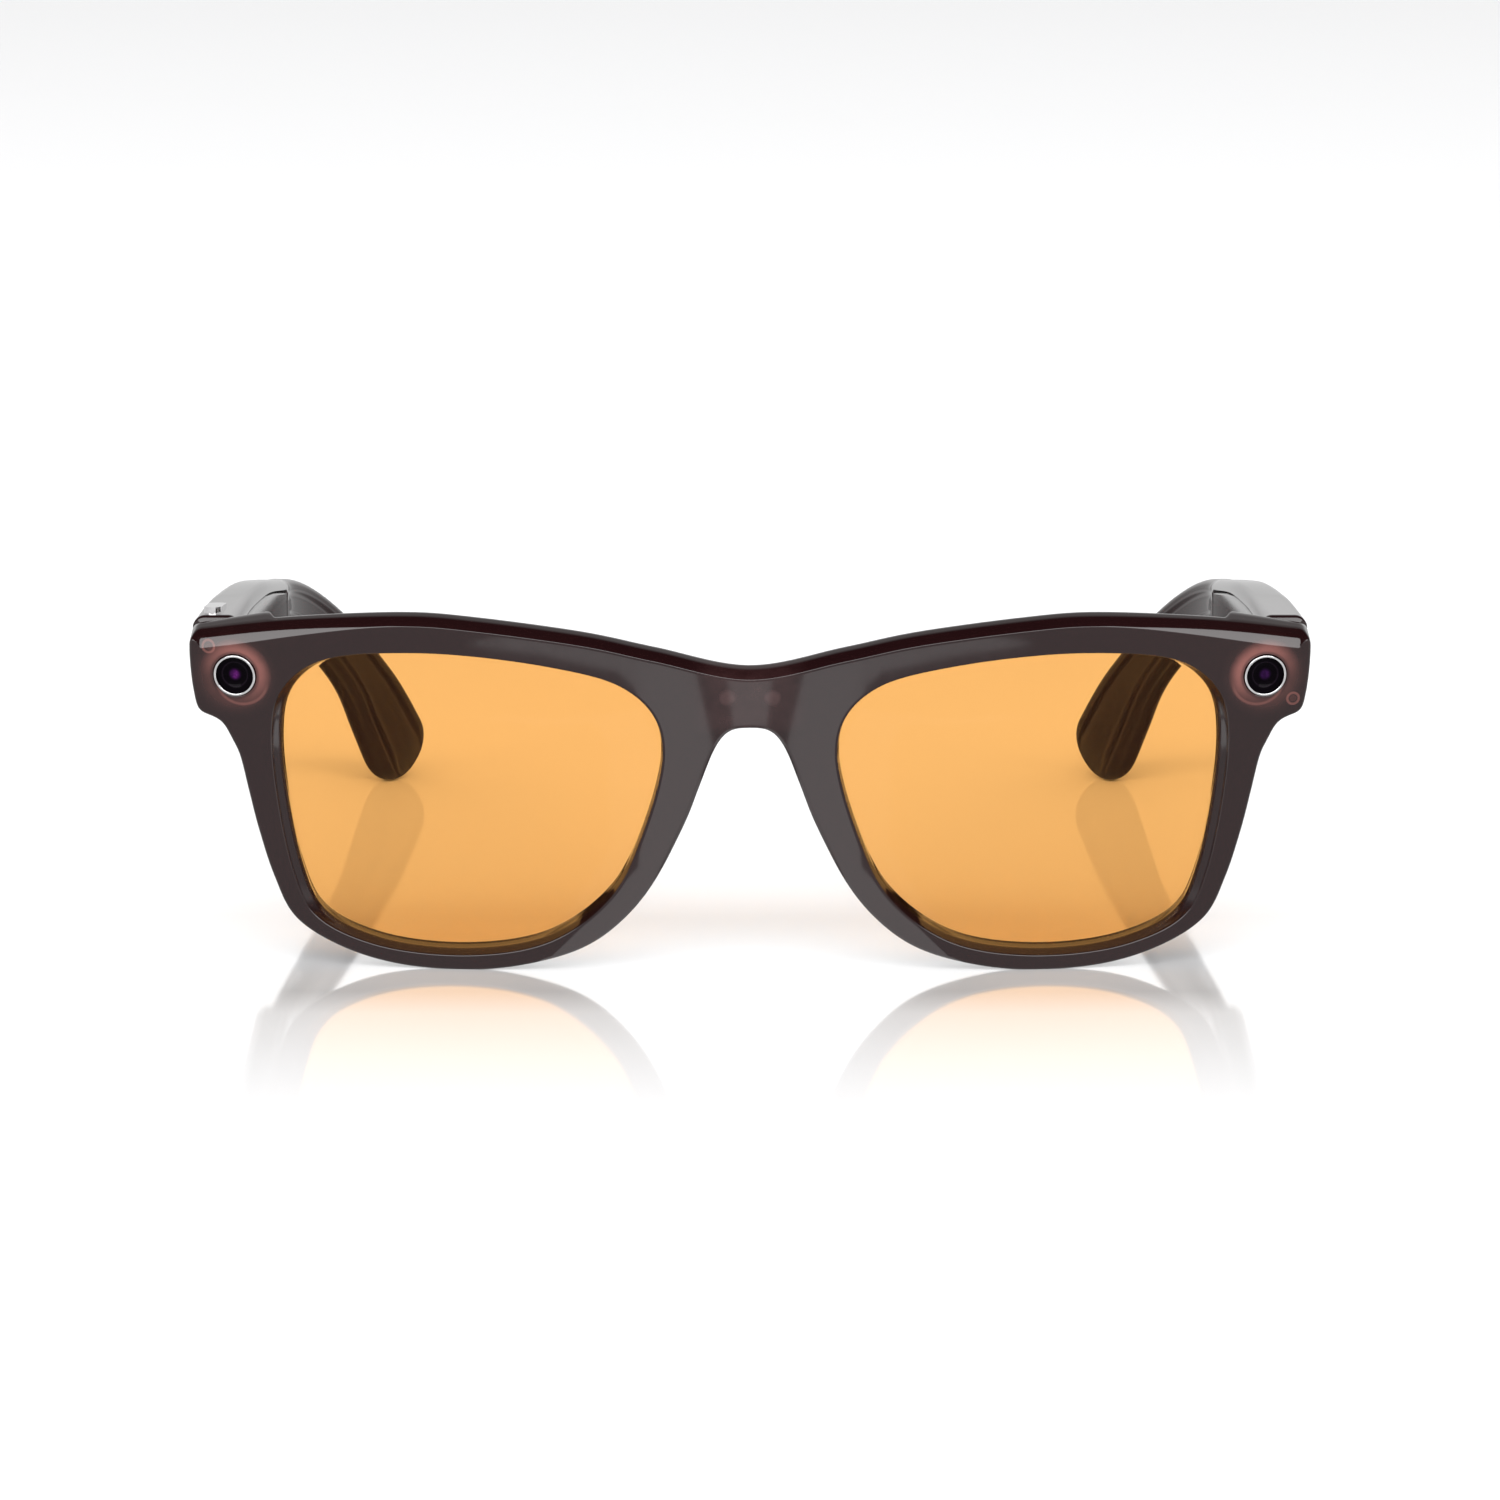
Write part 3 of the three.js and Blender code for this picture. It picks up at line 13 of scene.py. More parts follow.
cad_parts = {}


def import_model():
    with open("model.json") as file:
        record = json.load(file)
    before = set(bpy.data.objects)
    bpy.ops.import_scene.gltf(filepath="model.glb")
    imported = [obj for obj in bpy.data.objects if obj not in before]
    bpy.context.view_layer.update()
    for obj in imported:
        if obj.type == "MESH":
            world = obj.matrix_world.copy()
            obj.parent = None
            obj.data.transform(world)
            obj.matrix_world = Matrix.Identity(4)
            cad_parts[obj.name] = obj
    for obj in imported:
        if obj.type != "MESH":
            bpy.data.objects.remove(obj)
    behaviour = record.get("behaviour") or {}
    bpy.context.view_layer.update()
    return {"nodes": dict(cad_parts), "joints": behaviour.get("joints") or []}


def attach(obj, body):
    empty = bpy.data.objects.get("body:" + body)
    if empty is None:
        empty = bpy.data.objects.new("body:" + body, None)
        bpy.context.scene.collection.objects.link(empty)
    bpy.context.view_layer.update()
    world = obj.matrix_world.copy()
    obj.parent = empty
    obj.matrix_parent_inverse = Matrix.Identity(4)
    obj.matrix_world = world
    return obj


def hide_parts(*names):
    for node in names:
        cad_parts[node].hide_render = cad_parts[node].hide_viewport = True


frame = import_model()
NODES = frame["nodes"]
MM = 0.001

# ---- Dimensions of the front, in millimetres, as in the CAD ----

FRONT_RADIUS = 400.0
LEAN = math.radians(9.4)
OPENING_A, OPENING_B = 24.75, 20.35
LENS_X, LENS_Z = 36.1, 22.85
OPENING_TOP = LENS_Z + OPENING_B
HALF_WIDTH = 72.45
BRIDGE_TOP = 41.3
BRIDGE_HEIGHT = 7.3
END_TOP, END_BOTTOM = 44.6, 33.8
END_INNER = 61.85
END_PLANE = HALF_WIDTH**2 / (2 * FRONT_RADIUS) + 6
THICK = 4.8
REAR_SKIN = 0.04  # the rear surface stays this far inside the CAD's
END_SKIN = 0.06  # and the back of the end blocks
RIM_SIDE, RIM_BOTTOM, BROW = 4.7, 2.5, 4.5
EYE_U, EYE_W = 66.55, 39.4
RING_RADIUS = 2.75
LENS_RECESS, LENS_THICK, LENS_BULGE, LENS_SEAT = 1.9, 1.8, 1.1, 0.35

# Where the front's own origin stands, in millimetres.
FRONT_Y, FRONT_Z = -70.12612, -0.40069


def front_depth(u):
    return u * u / (2 * FRONT_RADIUS)


def to_world(u, t, w):
    """Front coordinates (across, depth, up) in mm to the scene in metres, never below the floor."""
    u, t, w = np.broadcast_arrays(np.asarray(u, float), t, w)
    y = t * math.cos(LEAN) - w * math.sin(LEAN) + FRONT_Y
    z = np.maximum(t * math.sin(LEAN) + w * math.cos(LEAN) + FRONT_Z, 0.0)
    return np.stack([u, y, z], axis=-1) * MM


def smoothstep(low, high, value):
    x = np.clip((np.asarray(value, float) - low) / (high - low), 0, 1)
    return x * x * (3 - 2 * x)


# ---- Curves ----


def uniform_spline(points, count):
    """Points along a uniform Catmull-Rom curve, its ends doubled."""
    p = np.asarray(points, float)
    last = len(p) - 1
    t = np.linspace(0, last, count)
    i = np.minimum(t.astype(int), last - 1)
    f = (t - i)[:, None]
    p0, p1 = p[np.maximum(i - 1, 0)], p[i]
    p2, p3 = p[i + 1], p[np.minimum(i + 2, last)]
    v0, v1 = (p2 - p0) / 2, (p3 - p1) / 2
    return (2 * p1 - 2 * p2 + v0 + v1) * f**3 + (-3 * p1 + 3 * p2 - 2 * v0 - v1) * f**2 + v0 * f + p1


def closed_centripetal(points, per_span):
    """Points round a closed centripetal Catmull-Rom curve."""
    p = np.asarray(points, float)
    n = len(p)
    out = []
    for i in range(n):
        a, b, c, d = p[(i - 1) % n], p[i], p[(i + 1) % n], p[(i + 2) % n]
        d0, d1, d2 = (np.linalg.norm(q - r) ** 0.5 for q, r in ((b, a), (c, b), (d, c)))
        t1 = ((b - a) / d0 - (c - a) / (d0 + d1) + (c - b) / d1) * d1
        t2 = ((c - b) / d1 - (d - b) / (d1 + d2) + (d - c) / d2) * d1
        f = (np.arange(per_span) / per_span)[:, None]
        out.append((2 * b - 2 * c + t1 + t2) * f**3 + (-3 * b + 3 * c - 2 * t1 - t2) * f**2 + t1 * f + b)
    return np.concatenate(out)


def resample(points, count, closed=True):
    """The same line with points at equal distances."""
    p = np.vstack([points, points[:1]]) if closed else np.asarray(points)
    run = np.concatenate([[0], np.cumsum(np.linalg.norm(np.diff(p, axis=0), axis=1))])
    at = np.linspace(0, run[-1], count + 1)[:-1] if closed else np.linspace(0, run[-1], count)
    return np.stack([np.interp(at, run, p[:, k]) for k in range(p.shape[1])], axis=1)


def soften(points, rounds):
    """A closed line with its corners eased."""
    for _ in range(rounds):
        points = (np.roll(points, 1, 0) + 2 * points + np.roll(points, -1, 0)) / 4
    return points


def line_normals(points):
    """Unit normals of a closed line, to the right of its direction."""
    d = np.roll(points, -1, 0) - np.roll(points, 1, 0)
    d /= np.linalg.norm(d, axis=1)[:, None]
    return np.stack([d[:, 1], -d[:, 0]], axis=1)


OPENING_SHAPE = [
    (0.99, 0.42), (0.94, 0.71), (0.76, 0.915), (0.29, 1), (-0.42, 0.93), (-0.79, 0.805), (-0.95, 0.62),
    (-0.995, 0.37), (-0.88, -0.195), (-0.73, -0.575), (-0.42, -0.885), (0, -1), (0.5, -0.95),
    (0.785, -0.775), (0.895, -0.48),
]


def opening_line(count):
    corners = [(LENS_X + a * OPENING_A, LENS_Z + b * OPENING_B) for a, b in OPENING_SHAPE]
    return resample(closed_centripetal(corners, 60), count)


def rim(a, b):
    return (LENS_X + a * (OPENING_A + RIM_SIDE), LENS_Z + b * (OPENING_B + RIM_BOTTOM))


def both_halves(half):
    return [(-x, y) for x, y in half[:0:-1]] + list(half)


def lower_edge():
    arch = BRIDGE_TOP - BRIDGE_HEIGHT
    nasal = rim(-1.003, 0.134)[0]
    spots = [
        (-1.003, 0.134), (-0.939, -0.086), (-0.807, -0.433), (-0.671, -0.666), (-0.5, -0.84),
        (-0.271, -0.947), (0, -1), (0.329, -0.982), (0.593, -0.886), (0.79, -0.723), (0.881, -0.481),
        (0.945, -0.2), (0.985, 0.03), (1.02, 0.24),
    ]
    half = [(0, arch), (0.4 * nasal, arch - 0.4), (0.69 * nasal, arch - 2.8)]
    half += [rim(a, b) for a, b in spots]
    half += [
        (HALF_WIDTH - 5.4, END_BOTTOM - 3.4), (HALF_WIDTH - 4.1, END_BOTTOM - 1),
        (HALF_WIDTH - 2.4, END_BOTTOM - 0.1),
    ]
    return both_halves(half)


def top_edge():
    half = [
        (0, BRIDGE_TOP), (LENS_X - 24, OPENING_TOP + 0.5), (LENS_X - 14.3, OPENING_TOP + 2.5),
        (LENS_X - 0.8, OPENING_TOP + BROW - 0.4), (LENS_X + 8.8, OPENING_TOP + BROW),
        (LENS_X + OPENING_A - 1.7, OPENING_TOP + BROW - 1.2), (HALF_WIDTH - 1.4, END_TOP),
    ]
    return both_halves(half)


def quadratic(a, b, c, count):
    f = np.linspace(0, 1, count)[:, None]
    a, b, c = (np.asarray(v, float) for v in (a, b, c))
    return a * (1 - f) ** 2 + 2 * b * f * (1 - f) + c * f**2


def end_side():
    h, low, top = HALF_WIDTH, END_BOTTOM, END_TOP
    one = quadratic((h - 1.6, low + 0.1), (h - 0.8, low + 0.2), (h - 0.6, low + 2), 12)
    two = quadratic((h - 0.6, low + 2), (h, low + 5), (h, top - 1.4), 20)
    three = quadratic((h, top - 1.4), (h, top - 0.1), (h - 0.56, top - 0.1), 12)
    return np.vstack([one, two[1:], three[1:]])


def front_outline(count):
    side = end_side()
    flipped = side[::-1] * [-1, 1]
    lower = uniform_spline(lower_edge(), 1200)
    top = uniform_spline(top_edge(), 800)[::-1]
    line = np.vstack([lower, side[1:], top[1:], flipped[1:-1]])
    return soften(resample(line, count), 6)


# ---- Mesh building ----


def new_object(name, verts, faces, smooth=True):
    mesh = bpy.data.meshes.new(name)
    mesh.from_pydata([tuple(v) for v in verts], [], [tuple(f) for f in faces])
    bm = bmesh.new()
    bm.from_mesh(mesh)
    bmesh.ops.recalc_face_normals(bm, faces=bm.faces)
    bm.to_mesh(mesh)
    bm.free()
    mesh.polygons.foreach_set("use_smooth", [smooth] * len(mesh.polygons))
    obj = bpy.data.objects.new(name, mesh)
    bpy.context.scene.collection.objects.link(obj)
    return obj


def inside(points, loops):
    """Even-odd test of points against several closed lines."""
    hit = np.zeros(len(points), bool)
    x, y = points[:, 0], points[:, 1]
    for loop in loops:
        a, b = loop, np.roll(loop, -1, 0)
        for (x0, y0), (x1, y1) in zip(a, b):
            if y0 == y1:
                continue
            across = (y0 > y) != (y1 > y)
            hit ^= across & (x < (x1 - x0) * (y - y0) / (y1 - y0) + x0)
    return hit


def fill_between(loops, pitch):
    """Triangles between closed lines in a plane: (points, triangles), the lines' own points first."""
    rim_points = np.vstack(loops)
    edges, start = [], 0
    for loop in loops:
        n = len(loop)
        edges += [(start + i, start + (i + 1) % n) for i in range(n)]
        start += n
    low, high = rim_points.min(0), rim_points.max(0)
    gx, gy = np.meshgrid(np.arange(low[0], high[0], pitch), np.arange(low[1], high[1], pitch * 0.87))
    gx[1::2] += pitch / 2
    grid = np.stack([gx.ravel(), gy.ravel()], axis=1)
    grid = grid[inside(grid, loops)]
    near = np.array([np.min(np.sum((rim_points - g) ** 2, axis=1)) for g in grid])
    grid = grid[near > (0.45 * pitch) ** 2]
    points = np.vstack([rim_points, grid])
    made = delaunay_2d_cdt([Vector(p) for p in points], edges, [], 0, 1e-6)
    source = [ids[0] if ids else -1 for ids in made[3]]
    triangles = np.array([[source[v] for v in face] for face in made[2]])
    middles = points[triangles].mean(axis=1)
    return points, triangles[inside(middles, loops)]


class Shell:
    """Collects the rings and faces of one closed body."""

    def __init__(self):
        self.verts, self.faces, self.count = [], [], 0

    def ring(self, points):
        self.verts.append(points)
        ids = np.arange(self.count, self.count + len(points))
        self.count += len(points)
        return ids

    def band(self, a, b):
        n = len(a)
        self.faces += [(a[i], a[(i + 1) % n], b[(i + 1) % n], b[i]) for i in range(n)]

    def cap(self, ring, centre):
        middle = self.ring(np.array([centre]))[0]
        n = len(ring)
        self.faces += [(ring[i], ring[(i + 1) % n], middle) for i in range(n)]

    def build(self, name):
        return new_object(name, np.vstack(self.verts), self.faces)


# ---- The front ----

EDGE_ROUND = 0.5  # of the softened front edges
OUTLINE_POINTS, OPENING_POINTS, MOUTH_POINTS = 1100, 360, 96
FILL_PITCH = 1.3  # of the points between the outlines
MOUTH_DEPTH = 1.3
# (radius, depth) down the round mouths for the camera and the light.
MOUTH = [(3.02, 0.0), (2.9, 0.02), (2.84, 0.1), (2.82, 0.4), (2.82, MOUTH_DEPTH)]


def rear_depth(u, w):
    """Depth of the front's rear surface: a thick flat block behind each end piece."""
    plain = front_depth(u) + THICK - REAR_SKIN
    at_end = smoothstep(END_INNER - 0.5, END_INNER + 0.7, np.abs(u)) * smoothstep(30.9, 32.4, w)
    return plain + (END_PLANE - END_SKIN - plain) * at_end


def front_section(outline, brow, facet):
    """Rows of (inset, depth behind the front surface) for one edge line. brow is 1 where the line has
    the chamfer of the brow and 0 where it has a plain rounded edge; facet is the light bevel's width."""
    chamfer, steep, base = 0.55, 3.3, facet * 0.55
    sharp = [
        (chamfer + facet + 0.3, 0.0), (chamfer + facet + 0.08, 0.01), (chamfer + facet - 0.06, 0.07),
        (chamfer + facet * 0.5, 0.05 + base * 0.5), (chamfer + 0.05, 0.06 + base),
        (chamfer - 0.04, 0.15 + base), (chamfer * 0.55, 0.15 + chamfer * 0.4 * steep + base),
        (0.14, 0.12 + chamfer * 0.8 * steep + base), (0.05, 0.3 + chamfer * 0.84 * steep + base),
        (0.0, 0.5 + chamfer * 0.88 * steep + base),
    ]
    angles = np.linspace(0, math.pi / 2, len(sharp))
    rows = []
    for (inset, depth), angle in zip(sharp, angles):
        soft_inset = EDGE_ROUND * (1 - math.sin(angle))
        soft_depth = EDGE_ROUND * (1 - math.cos(angle))
        rows.append((inset * brow + soft_inset * (1 - brow), depth * brow + soft_depth * (1 - brow)))
    return rows


def edge_rows(line, out, rows, rear_round=0.5, steps=5):
    """World points of each ring of an edge: the front rows, then a wall, then a rounded rear edge."""
    rings = []
    for inset, depth in rows:
        p = line - out * np.reshape(inset, (-1, 1))
        rings.append((p, front_depth(p[:, 0]) + depth))
    start = rings[-1][1]
    back = rear_depth(line[:, 0], line[:, 1])
    for share in (0.33, 0.66):
        rings.append((line, start + (back - rear_round - start) * share))
    for angle in np.linspace(0, math.pi / 2, steps):
        p = line - out * rear_round * (1 - math.cos(angle))
        rings.append((p, rear_depth(p[:, 0], p[:, 1]) - rear_round * (1 - math.sin(angle))))
    return rings


def opening_rows(out):
    """The wall of a lens opening flares towards the front, most on the temporal side and below."""
    temporal = np.clip(np.abs(out[:, 0]) * np.sign(-out[:, 2]), 0, 1)
    below = np.clip(out[:, 1], 0, 1)
    flare = 0.22 + 1.1 * temporal**1.5 + 0.1 * below**2
    rows = []
    for inset, depth in ((0.34, 0.0), (0.2, 0.012), (0.08, 0.06), (0.0, 0.16)):
        rows.append((flare + inset, depth))
    for share, depth in ((0.8, 0.5), (0.45, 0.95), (0.12, 1.4), (0.0, 1.7), (0.0, 2.2)):
        rows.append((flare * share, depth))
    return rows


def front_piece():
    shell = Shell()
    outline = front_outline(OUTLINE_POINTS)
    out = line_normals(outline)
    u, w = outline[:, 0], outline[:, 1]
    brow = smoothstep(0.35, 0.85, out[:, 1]) * smoothstep(36, 41, w) * smoothstep(72.3, 71.2, np.abs(u))
    facet = 0.12 + 1.1 * smoothstep(44, 68, np.abs(u))
    loops = [edge_rows(outline, out, front_section(outline, brow, facet), 0.8)]
    for side in (1, -1):
        line = opening_line(OPENING_POINTS)
        if side < 0:
            line = line[::-1] * [-1, 1]
        normal = line_normals(line)
        away = np.sign(np.sum(normal * (line - line.mean(0)), axis=1).mean())
        normal = -normal * away
        towards_nose = np.sign(normal[:, 0]) * side
        shaped = np.column_stack([normal, towards_nose])
        loops.append(edge_rows(line, normal, opening_rows(shaped), 0.45))
    ids = [[shell.ring(to_world(p[:, 0], t, p[:, 1])) for p, t in rings] for rings in loops]
    for rings in ids:
        for a, b in zip(rings, rings[1:]):
            shell.band(a, b)
    # Mouths of the camera and the light, blind holes behind their rings.
    mouths = []
    turn = np.linspace(0, 2 * math.pi, MOUTH_POINTS + 1)[:-1]
    for side in (1, -1):
        rings = []
        for radius, depth in MOUTH:
            p = np.stack([side * EYE_U + radius * np.cos(turn), EYE_W + radius * np.sin(turn)], axis=1)
            rings.append((p, front_depth(p[:, 0]) + depth))
        ring_ids = [shell.ring(to_world(p[:, 0], t, p[:, 1])) for p, t in rings]
        for a, b in zip(ring_ids, ring_ids[1:]):
            shell.band(a, b)
        shell.cap(ring_ids[-1], to_world(side * EYE_U, front_depth(EYE_U) + MOUTH_DEPTH, EYE_W))
        mouths.append((rings[0][0], ring_ids[0]))
    for at, extra in ((0, mouths), (-1, [])):
        lines = [rings[at][0] for rings in loops] + [line for line, _ in extra]
        edge_ids = np.concatenate([rings[at] for rings in ids] + [i for _, i in extra])
        points, triangles = fill_between(lines, FILL_PITCH)
        new = points[len(edge_ids):]
        t = front_depth(new[:, 0]) if at == 0 else rear_depth(new[:, 0], new[:, 1])
        all_ids = np.concatenate([edge_ids, shell.ring(to_world(new[:, 0], t, new[:, 1]))])
        shell.faces += [tuple(all_ids[v] for v in tri) for tri in triangles]
        if at == 0:
            face_ids, across = all_ids, points[:, 0]
    made = shell.build("front_rims")
    # The polished face mirrors without ripples: its own true normals instead of the triangles' average.
    normals = np.array([v.normal for v in made.data.vertices])
    true = np.stack([across / FRONT_RADIUS, -np.ones(len(across)), np.zeros(len(across))], axis=1)
    true /= np.linalg.norm(true, axis=1)[:, None]
    lean = np.array(Matrix.Rotation(LEAN, 3, "X"))
    normals[face_ids] = true @ lean.T
    made.data.normals_split_custom_set_from_vertices([tuple(n) for n in normals])
    return made


COVER_DROP = 2  # top edge to the middle of the brow cover
COVER_HALF, COVER_ROUND = 0.9, 0.08
COVER_FRONT = 4.1  # depth of its hidden side
COVER_SPOTS = [6.12, *np.linspace(6.2, 61.4, 140), 61.5]


def brow_cover(side, name):
    """A strip over the cable channel, flush with the CAD's rear surface."""
    shell = Shell()
    top = uniform_spline(top_edge(), 1600)
    half, flat = COVER_HALF, COVER_HALF - COVER_ROUND
    section = [
        (-half, COVER_FRONT), (-half, THICK - COVER_ROUND), (-flat, THICK), (flat, THICK),
        (half, THICK - COVER_ROUND), (half, COVER_FRONT),
    ]
    ids = []
    for u in COVER_SPOTS:
        centre = float(np.interp(u, top[:, 0], top[:, 1])) - COVER_DROP
        rows = np.array([(centre + up, front_depth(u) + depth) for up, depth in section])
        ids.append(shell.ring(to_world(np.full(len(rows), side * u), rows[:, 1], rows[:, 0])))
    for a, b in zip(ids, ids[1:]):
        shell.band(a, b)
    shell.faces += [tuple(ids[0]), tuple(ids[-1])]
    return shell.build(name)


# ---- Lenses ----


def lens_piece(side, name):
    shell = Shell()
    line = opening_line(240)
    normal = line_normals(line)
    if np.sum(normal * (line - line.mean(0))) < 0:
        normal = -normal
    edge = line + normal * (LENS_SEAT - 0.05)
    shares = [0.12, 0.25, 0.4, 0.55, 0.7, 0.82, 0.92, 0.975, 1.0]

    def surface(ring, depth):
        u = LENS_X + ring * (edge[:, 0] - LENS_X)
        w = LENS_Z + ring * (edge[:, 1] - LENS_Z)
        t = depth + front_depth(u) - LENS_BULGE * (1 - ring * ring)
        return to_world(side * u, t, w)

    front = [shell.ring(surface(r, LENS_RECESS)) for r in shares]
    back = [shell.ring(surface(r, LENS_RECESS + LENS_THICK)) for r in shares]
    for rings in (front, back):
        for a, b in zip(rings, rings[1:]):
            shell.band(a, b)
    shell.band(front[-1], back[-1])
    for rings, depth in ((front, LENS_RECESS), (back, LENS_RECESS + LENS_THICK)):
        middle = to_world(side * LENS_X, depth + front_depth(LENS_X) - LENS_BULGE, LENS_Z)
        shell.cap(rings[0], middle)
    return shell.build(name)


# ---- Round pieces at the two ends ----


def lathe(name, profile, matrix, count=96):
    """A body turned about its own Y axis from (radius, depth) pairs in mm; radius 0 closes it."""
    shell = Shell()
    turn = np.linspace(0, 2 * math.pi, count + 1)[:-1]
    place = np.array(matrix)

    def world(points):
        p = np.column_stack([points, np.ones(len(points))])
        q = (place @ p.T).T[:, :3]
        return to_world(q[:, 0], q[:, 1], q[:, 2])

    rings = []
    for radius, depth in profile:
        if radius == 0:
            rings.append(shell.ring(world(np.array([[0, depth, 0]]))))
        else:
            x, z = radius * np.cos(turn), radius * np.sin(turn)
            rings.append(shell.ring(world(np.column_stack([x, np.full(count, depth), z]))))
    closed = profile[0] == profile[-1]
    if closed:
        rings[-1] = rings[0]
    for a, b in zip(rings, rings[1:]):
        if len(a) == 1 or len(b) == 1:
            lone, ring = (a[0], b) if len(a) == 1 else (b[0], a)
            n = len(ring)
            shell.faces += [(ring[i], ring[(i + 1) % n], lone) for i in range(n)]
        else:
            shell.band(a, b)
    if closed:
        shell.verts[-1] = shell.verts[-1][:0]
    return shell.build(name)


def eye_frame(side):
    turn = Matrix.Rotation(side * math.atan(EYE_U / FRONT_RADIUS), 4, "Z")
    return Matrix.Translation((side * EYE_U, front_depth(EYE_U), EYE_W)) @ turn


def rounded_ring(inner, outer, front, back, r):
    """Profile of a ring with rounded corners."""
    quarter = math.pi / 2
    corners = [
        (inner + r, front + r, 2 * quarter, 3 * quarter),
        (outer - r, front + r, 3 * quarter, 4 * quarter),
        (outer - r, back - r, 0, quarter), (inner + r, back - r, quarter, 2 * quarter),
    ]
    profile = []
    for x, y, start, stop in corners:
        for angle in np.linspace(start, stop, 5):
            profile.append((x + r * math.cos(angle), y + r * math.sin(angle)))
    return profile + [profile[0]]


# ---- Temples ----

HOUSING = 94.0  # hinge end to the step behind the speaker
EAR_START = 105.65
YAW_START = 88.0
EAR_RADIUS = 42.0
EAR_PITCH = math.radians(57)
EAR_YAW = 37.0
TIP_RADIUS = 5.6
TIP_ROUND = 5.35  # length over which the tip closes
TIP_SQUARE = 2.5  # 2 is a round end and more is squarer
SLIMMING = 14.0  # the temple slims down behind the housing
STEP_HEIGHT, STEP_FADE = 3, 28
THICKNESS, THINNER = 6, 0.6  # of the housing, and how much it loses to its end
EAR_THICKNESS, EAR_THICKER = 3.9, 0.5
PITCH, TAPER = math.radians(5.2), 0.2
STEP_LENGTH = 1.2
HINGE_BARREL = 1.45
HINGE_OUT = 7.75
CORNER = 1.5
LEAN_LENGTH = 14.0  # the butt end leans with the front
SEAT_END, SEAT_HALF, SEAT_DEPTH = 8.3, 4.0, 1.3  # where the hinge leaf lies
POCKET = (16.0, 91.5)  # and the inner cover
POCKET_DEPTH, POCKET_EDGE = 1.25, 1.5
GRILLE, GRILLE_DEPTH = (81.2, 90.8), 0.75

# (distance from the hinge end, distance from the middle line) of the top edge and of the underside.
UPPER = [
    (0, 5.5), (14, 6.2), (28, 6.6), (56, 6.5), (86, 5.1), (96, 4.5), (106, 4.1), (134, 4.1), (154, 5.55),
    (214, 5.55),
]
LOWER = [
    (0, 6.1), (28, 6.6), (56, 6.6), (86, 6.2), (94, 6), (106, 4.4), (134, 4.1), (154, 5.55), (214, 5.55),
]
upper_line, lower_line = uniform_spline(UPPER, 1500), uniform_spline(LOWER, 1500)


def ramp(value):
    return min(1.0, max(0.0, value))


def upper(s):
    return float(np.interp(s, upper_line[:, 0], upper_line[:, 1]))


def lower(s):
    behind = ramp((s - HOUSING) / STEP_LENGTH)
    fading = ramp(1 - (s - HOUSING - STEP_LENGTH) / STEP_FADE)
    return float(np.interp(s, lower_line[:, 0], lower_line[:, 1])) - STEP_HEIGHT * behind * fading


def thickness(s):
    housing = THICKNESS - THINNER * ramp(s / HOUSING)
    ear = EAR_THICKNESS + EAR_THICKER * ramp((s - EAR_START) / EAR_RADIUS)
    return housing + (ear - housing) * float(smoothstep(HOUSING, HOUSING + SLIMMING, s))


def temple_spine(hinge_height):
    """(places, step, end): the outer face's middle line with its along, outward and up directions."""
    arc = EAR_RADIUS * (EAR_PITCH - PITCH)
    fall = hinge_height - TIP_RADIUS - EAR_START * math.sin(PITCH)
    straight = (fall - EAR_RADIUS * (math.cos(PITCH) - math.cos(EAR_PITCH))) / math.sin(EAR_PITCH)
    point, places, step = np.array([HINGE_OUT, -HINGE_BARREL, 0.0]), [], 0.5
    end = EAR_START + arc + straight
    for i in range(int((end + TIP_RADIUS + 2 * step) / step) + 1):
        s = i * step
        turned = ramp((s - EAR_START) / arc)
        pitch = PITCH + (EAR_PITCH - PITCH) * turned
        yaw = math.radians(TAPER + EAR_YAW * float(smoothstep(YAW_START, EAR_START + arc, s)))
        flat = math.cos(pitch)
        along = np.array([-math.sin(yaw) * flat, math.cos(yaw) * flat, -math.sin(pitch)])
        out = np.array([math.cos(yaw), math.sin(yaw), 0.0])
        places.append(np.concatenate([point, along, out, np.cross(out, along)]))
        point = point + along * step
    return np.array(places), step, end


def place_at(spine, s):
    places, step, _ = spine
    i = min(len(places) - 2, max(0, int(s / step)))
    share = s / step - i
    mixed = places[i] * (1 - share) + places[i + 1] * share
    return mixed[:3], mixed[3:6], mixed[6:9], mixed[9:12]


def recess_at(s):
    """(top level, low level, depth) of the inner face's recess: the hinge leaf's, then the cover's."""
    if s <= SEAT_END:
        return SEAT_HALF, SEAT_HALF, SEAT_DEPTH
    if POCKET[0] <= s <= POCKET[1]:
        return upper(s) - POCKET_EDGE, lower(s) - POCKET_EDGE, POCKET_DEPTH
    return upper(s) - 1.9, lower(s) - 1.9, 0.0


def grille_depth(s):
    return GRILLE_DEPTH if GRILLE[0] <= s <= GRILLE[1] else 0.0


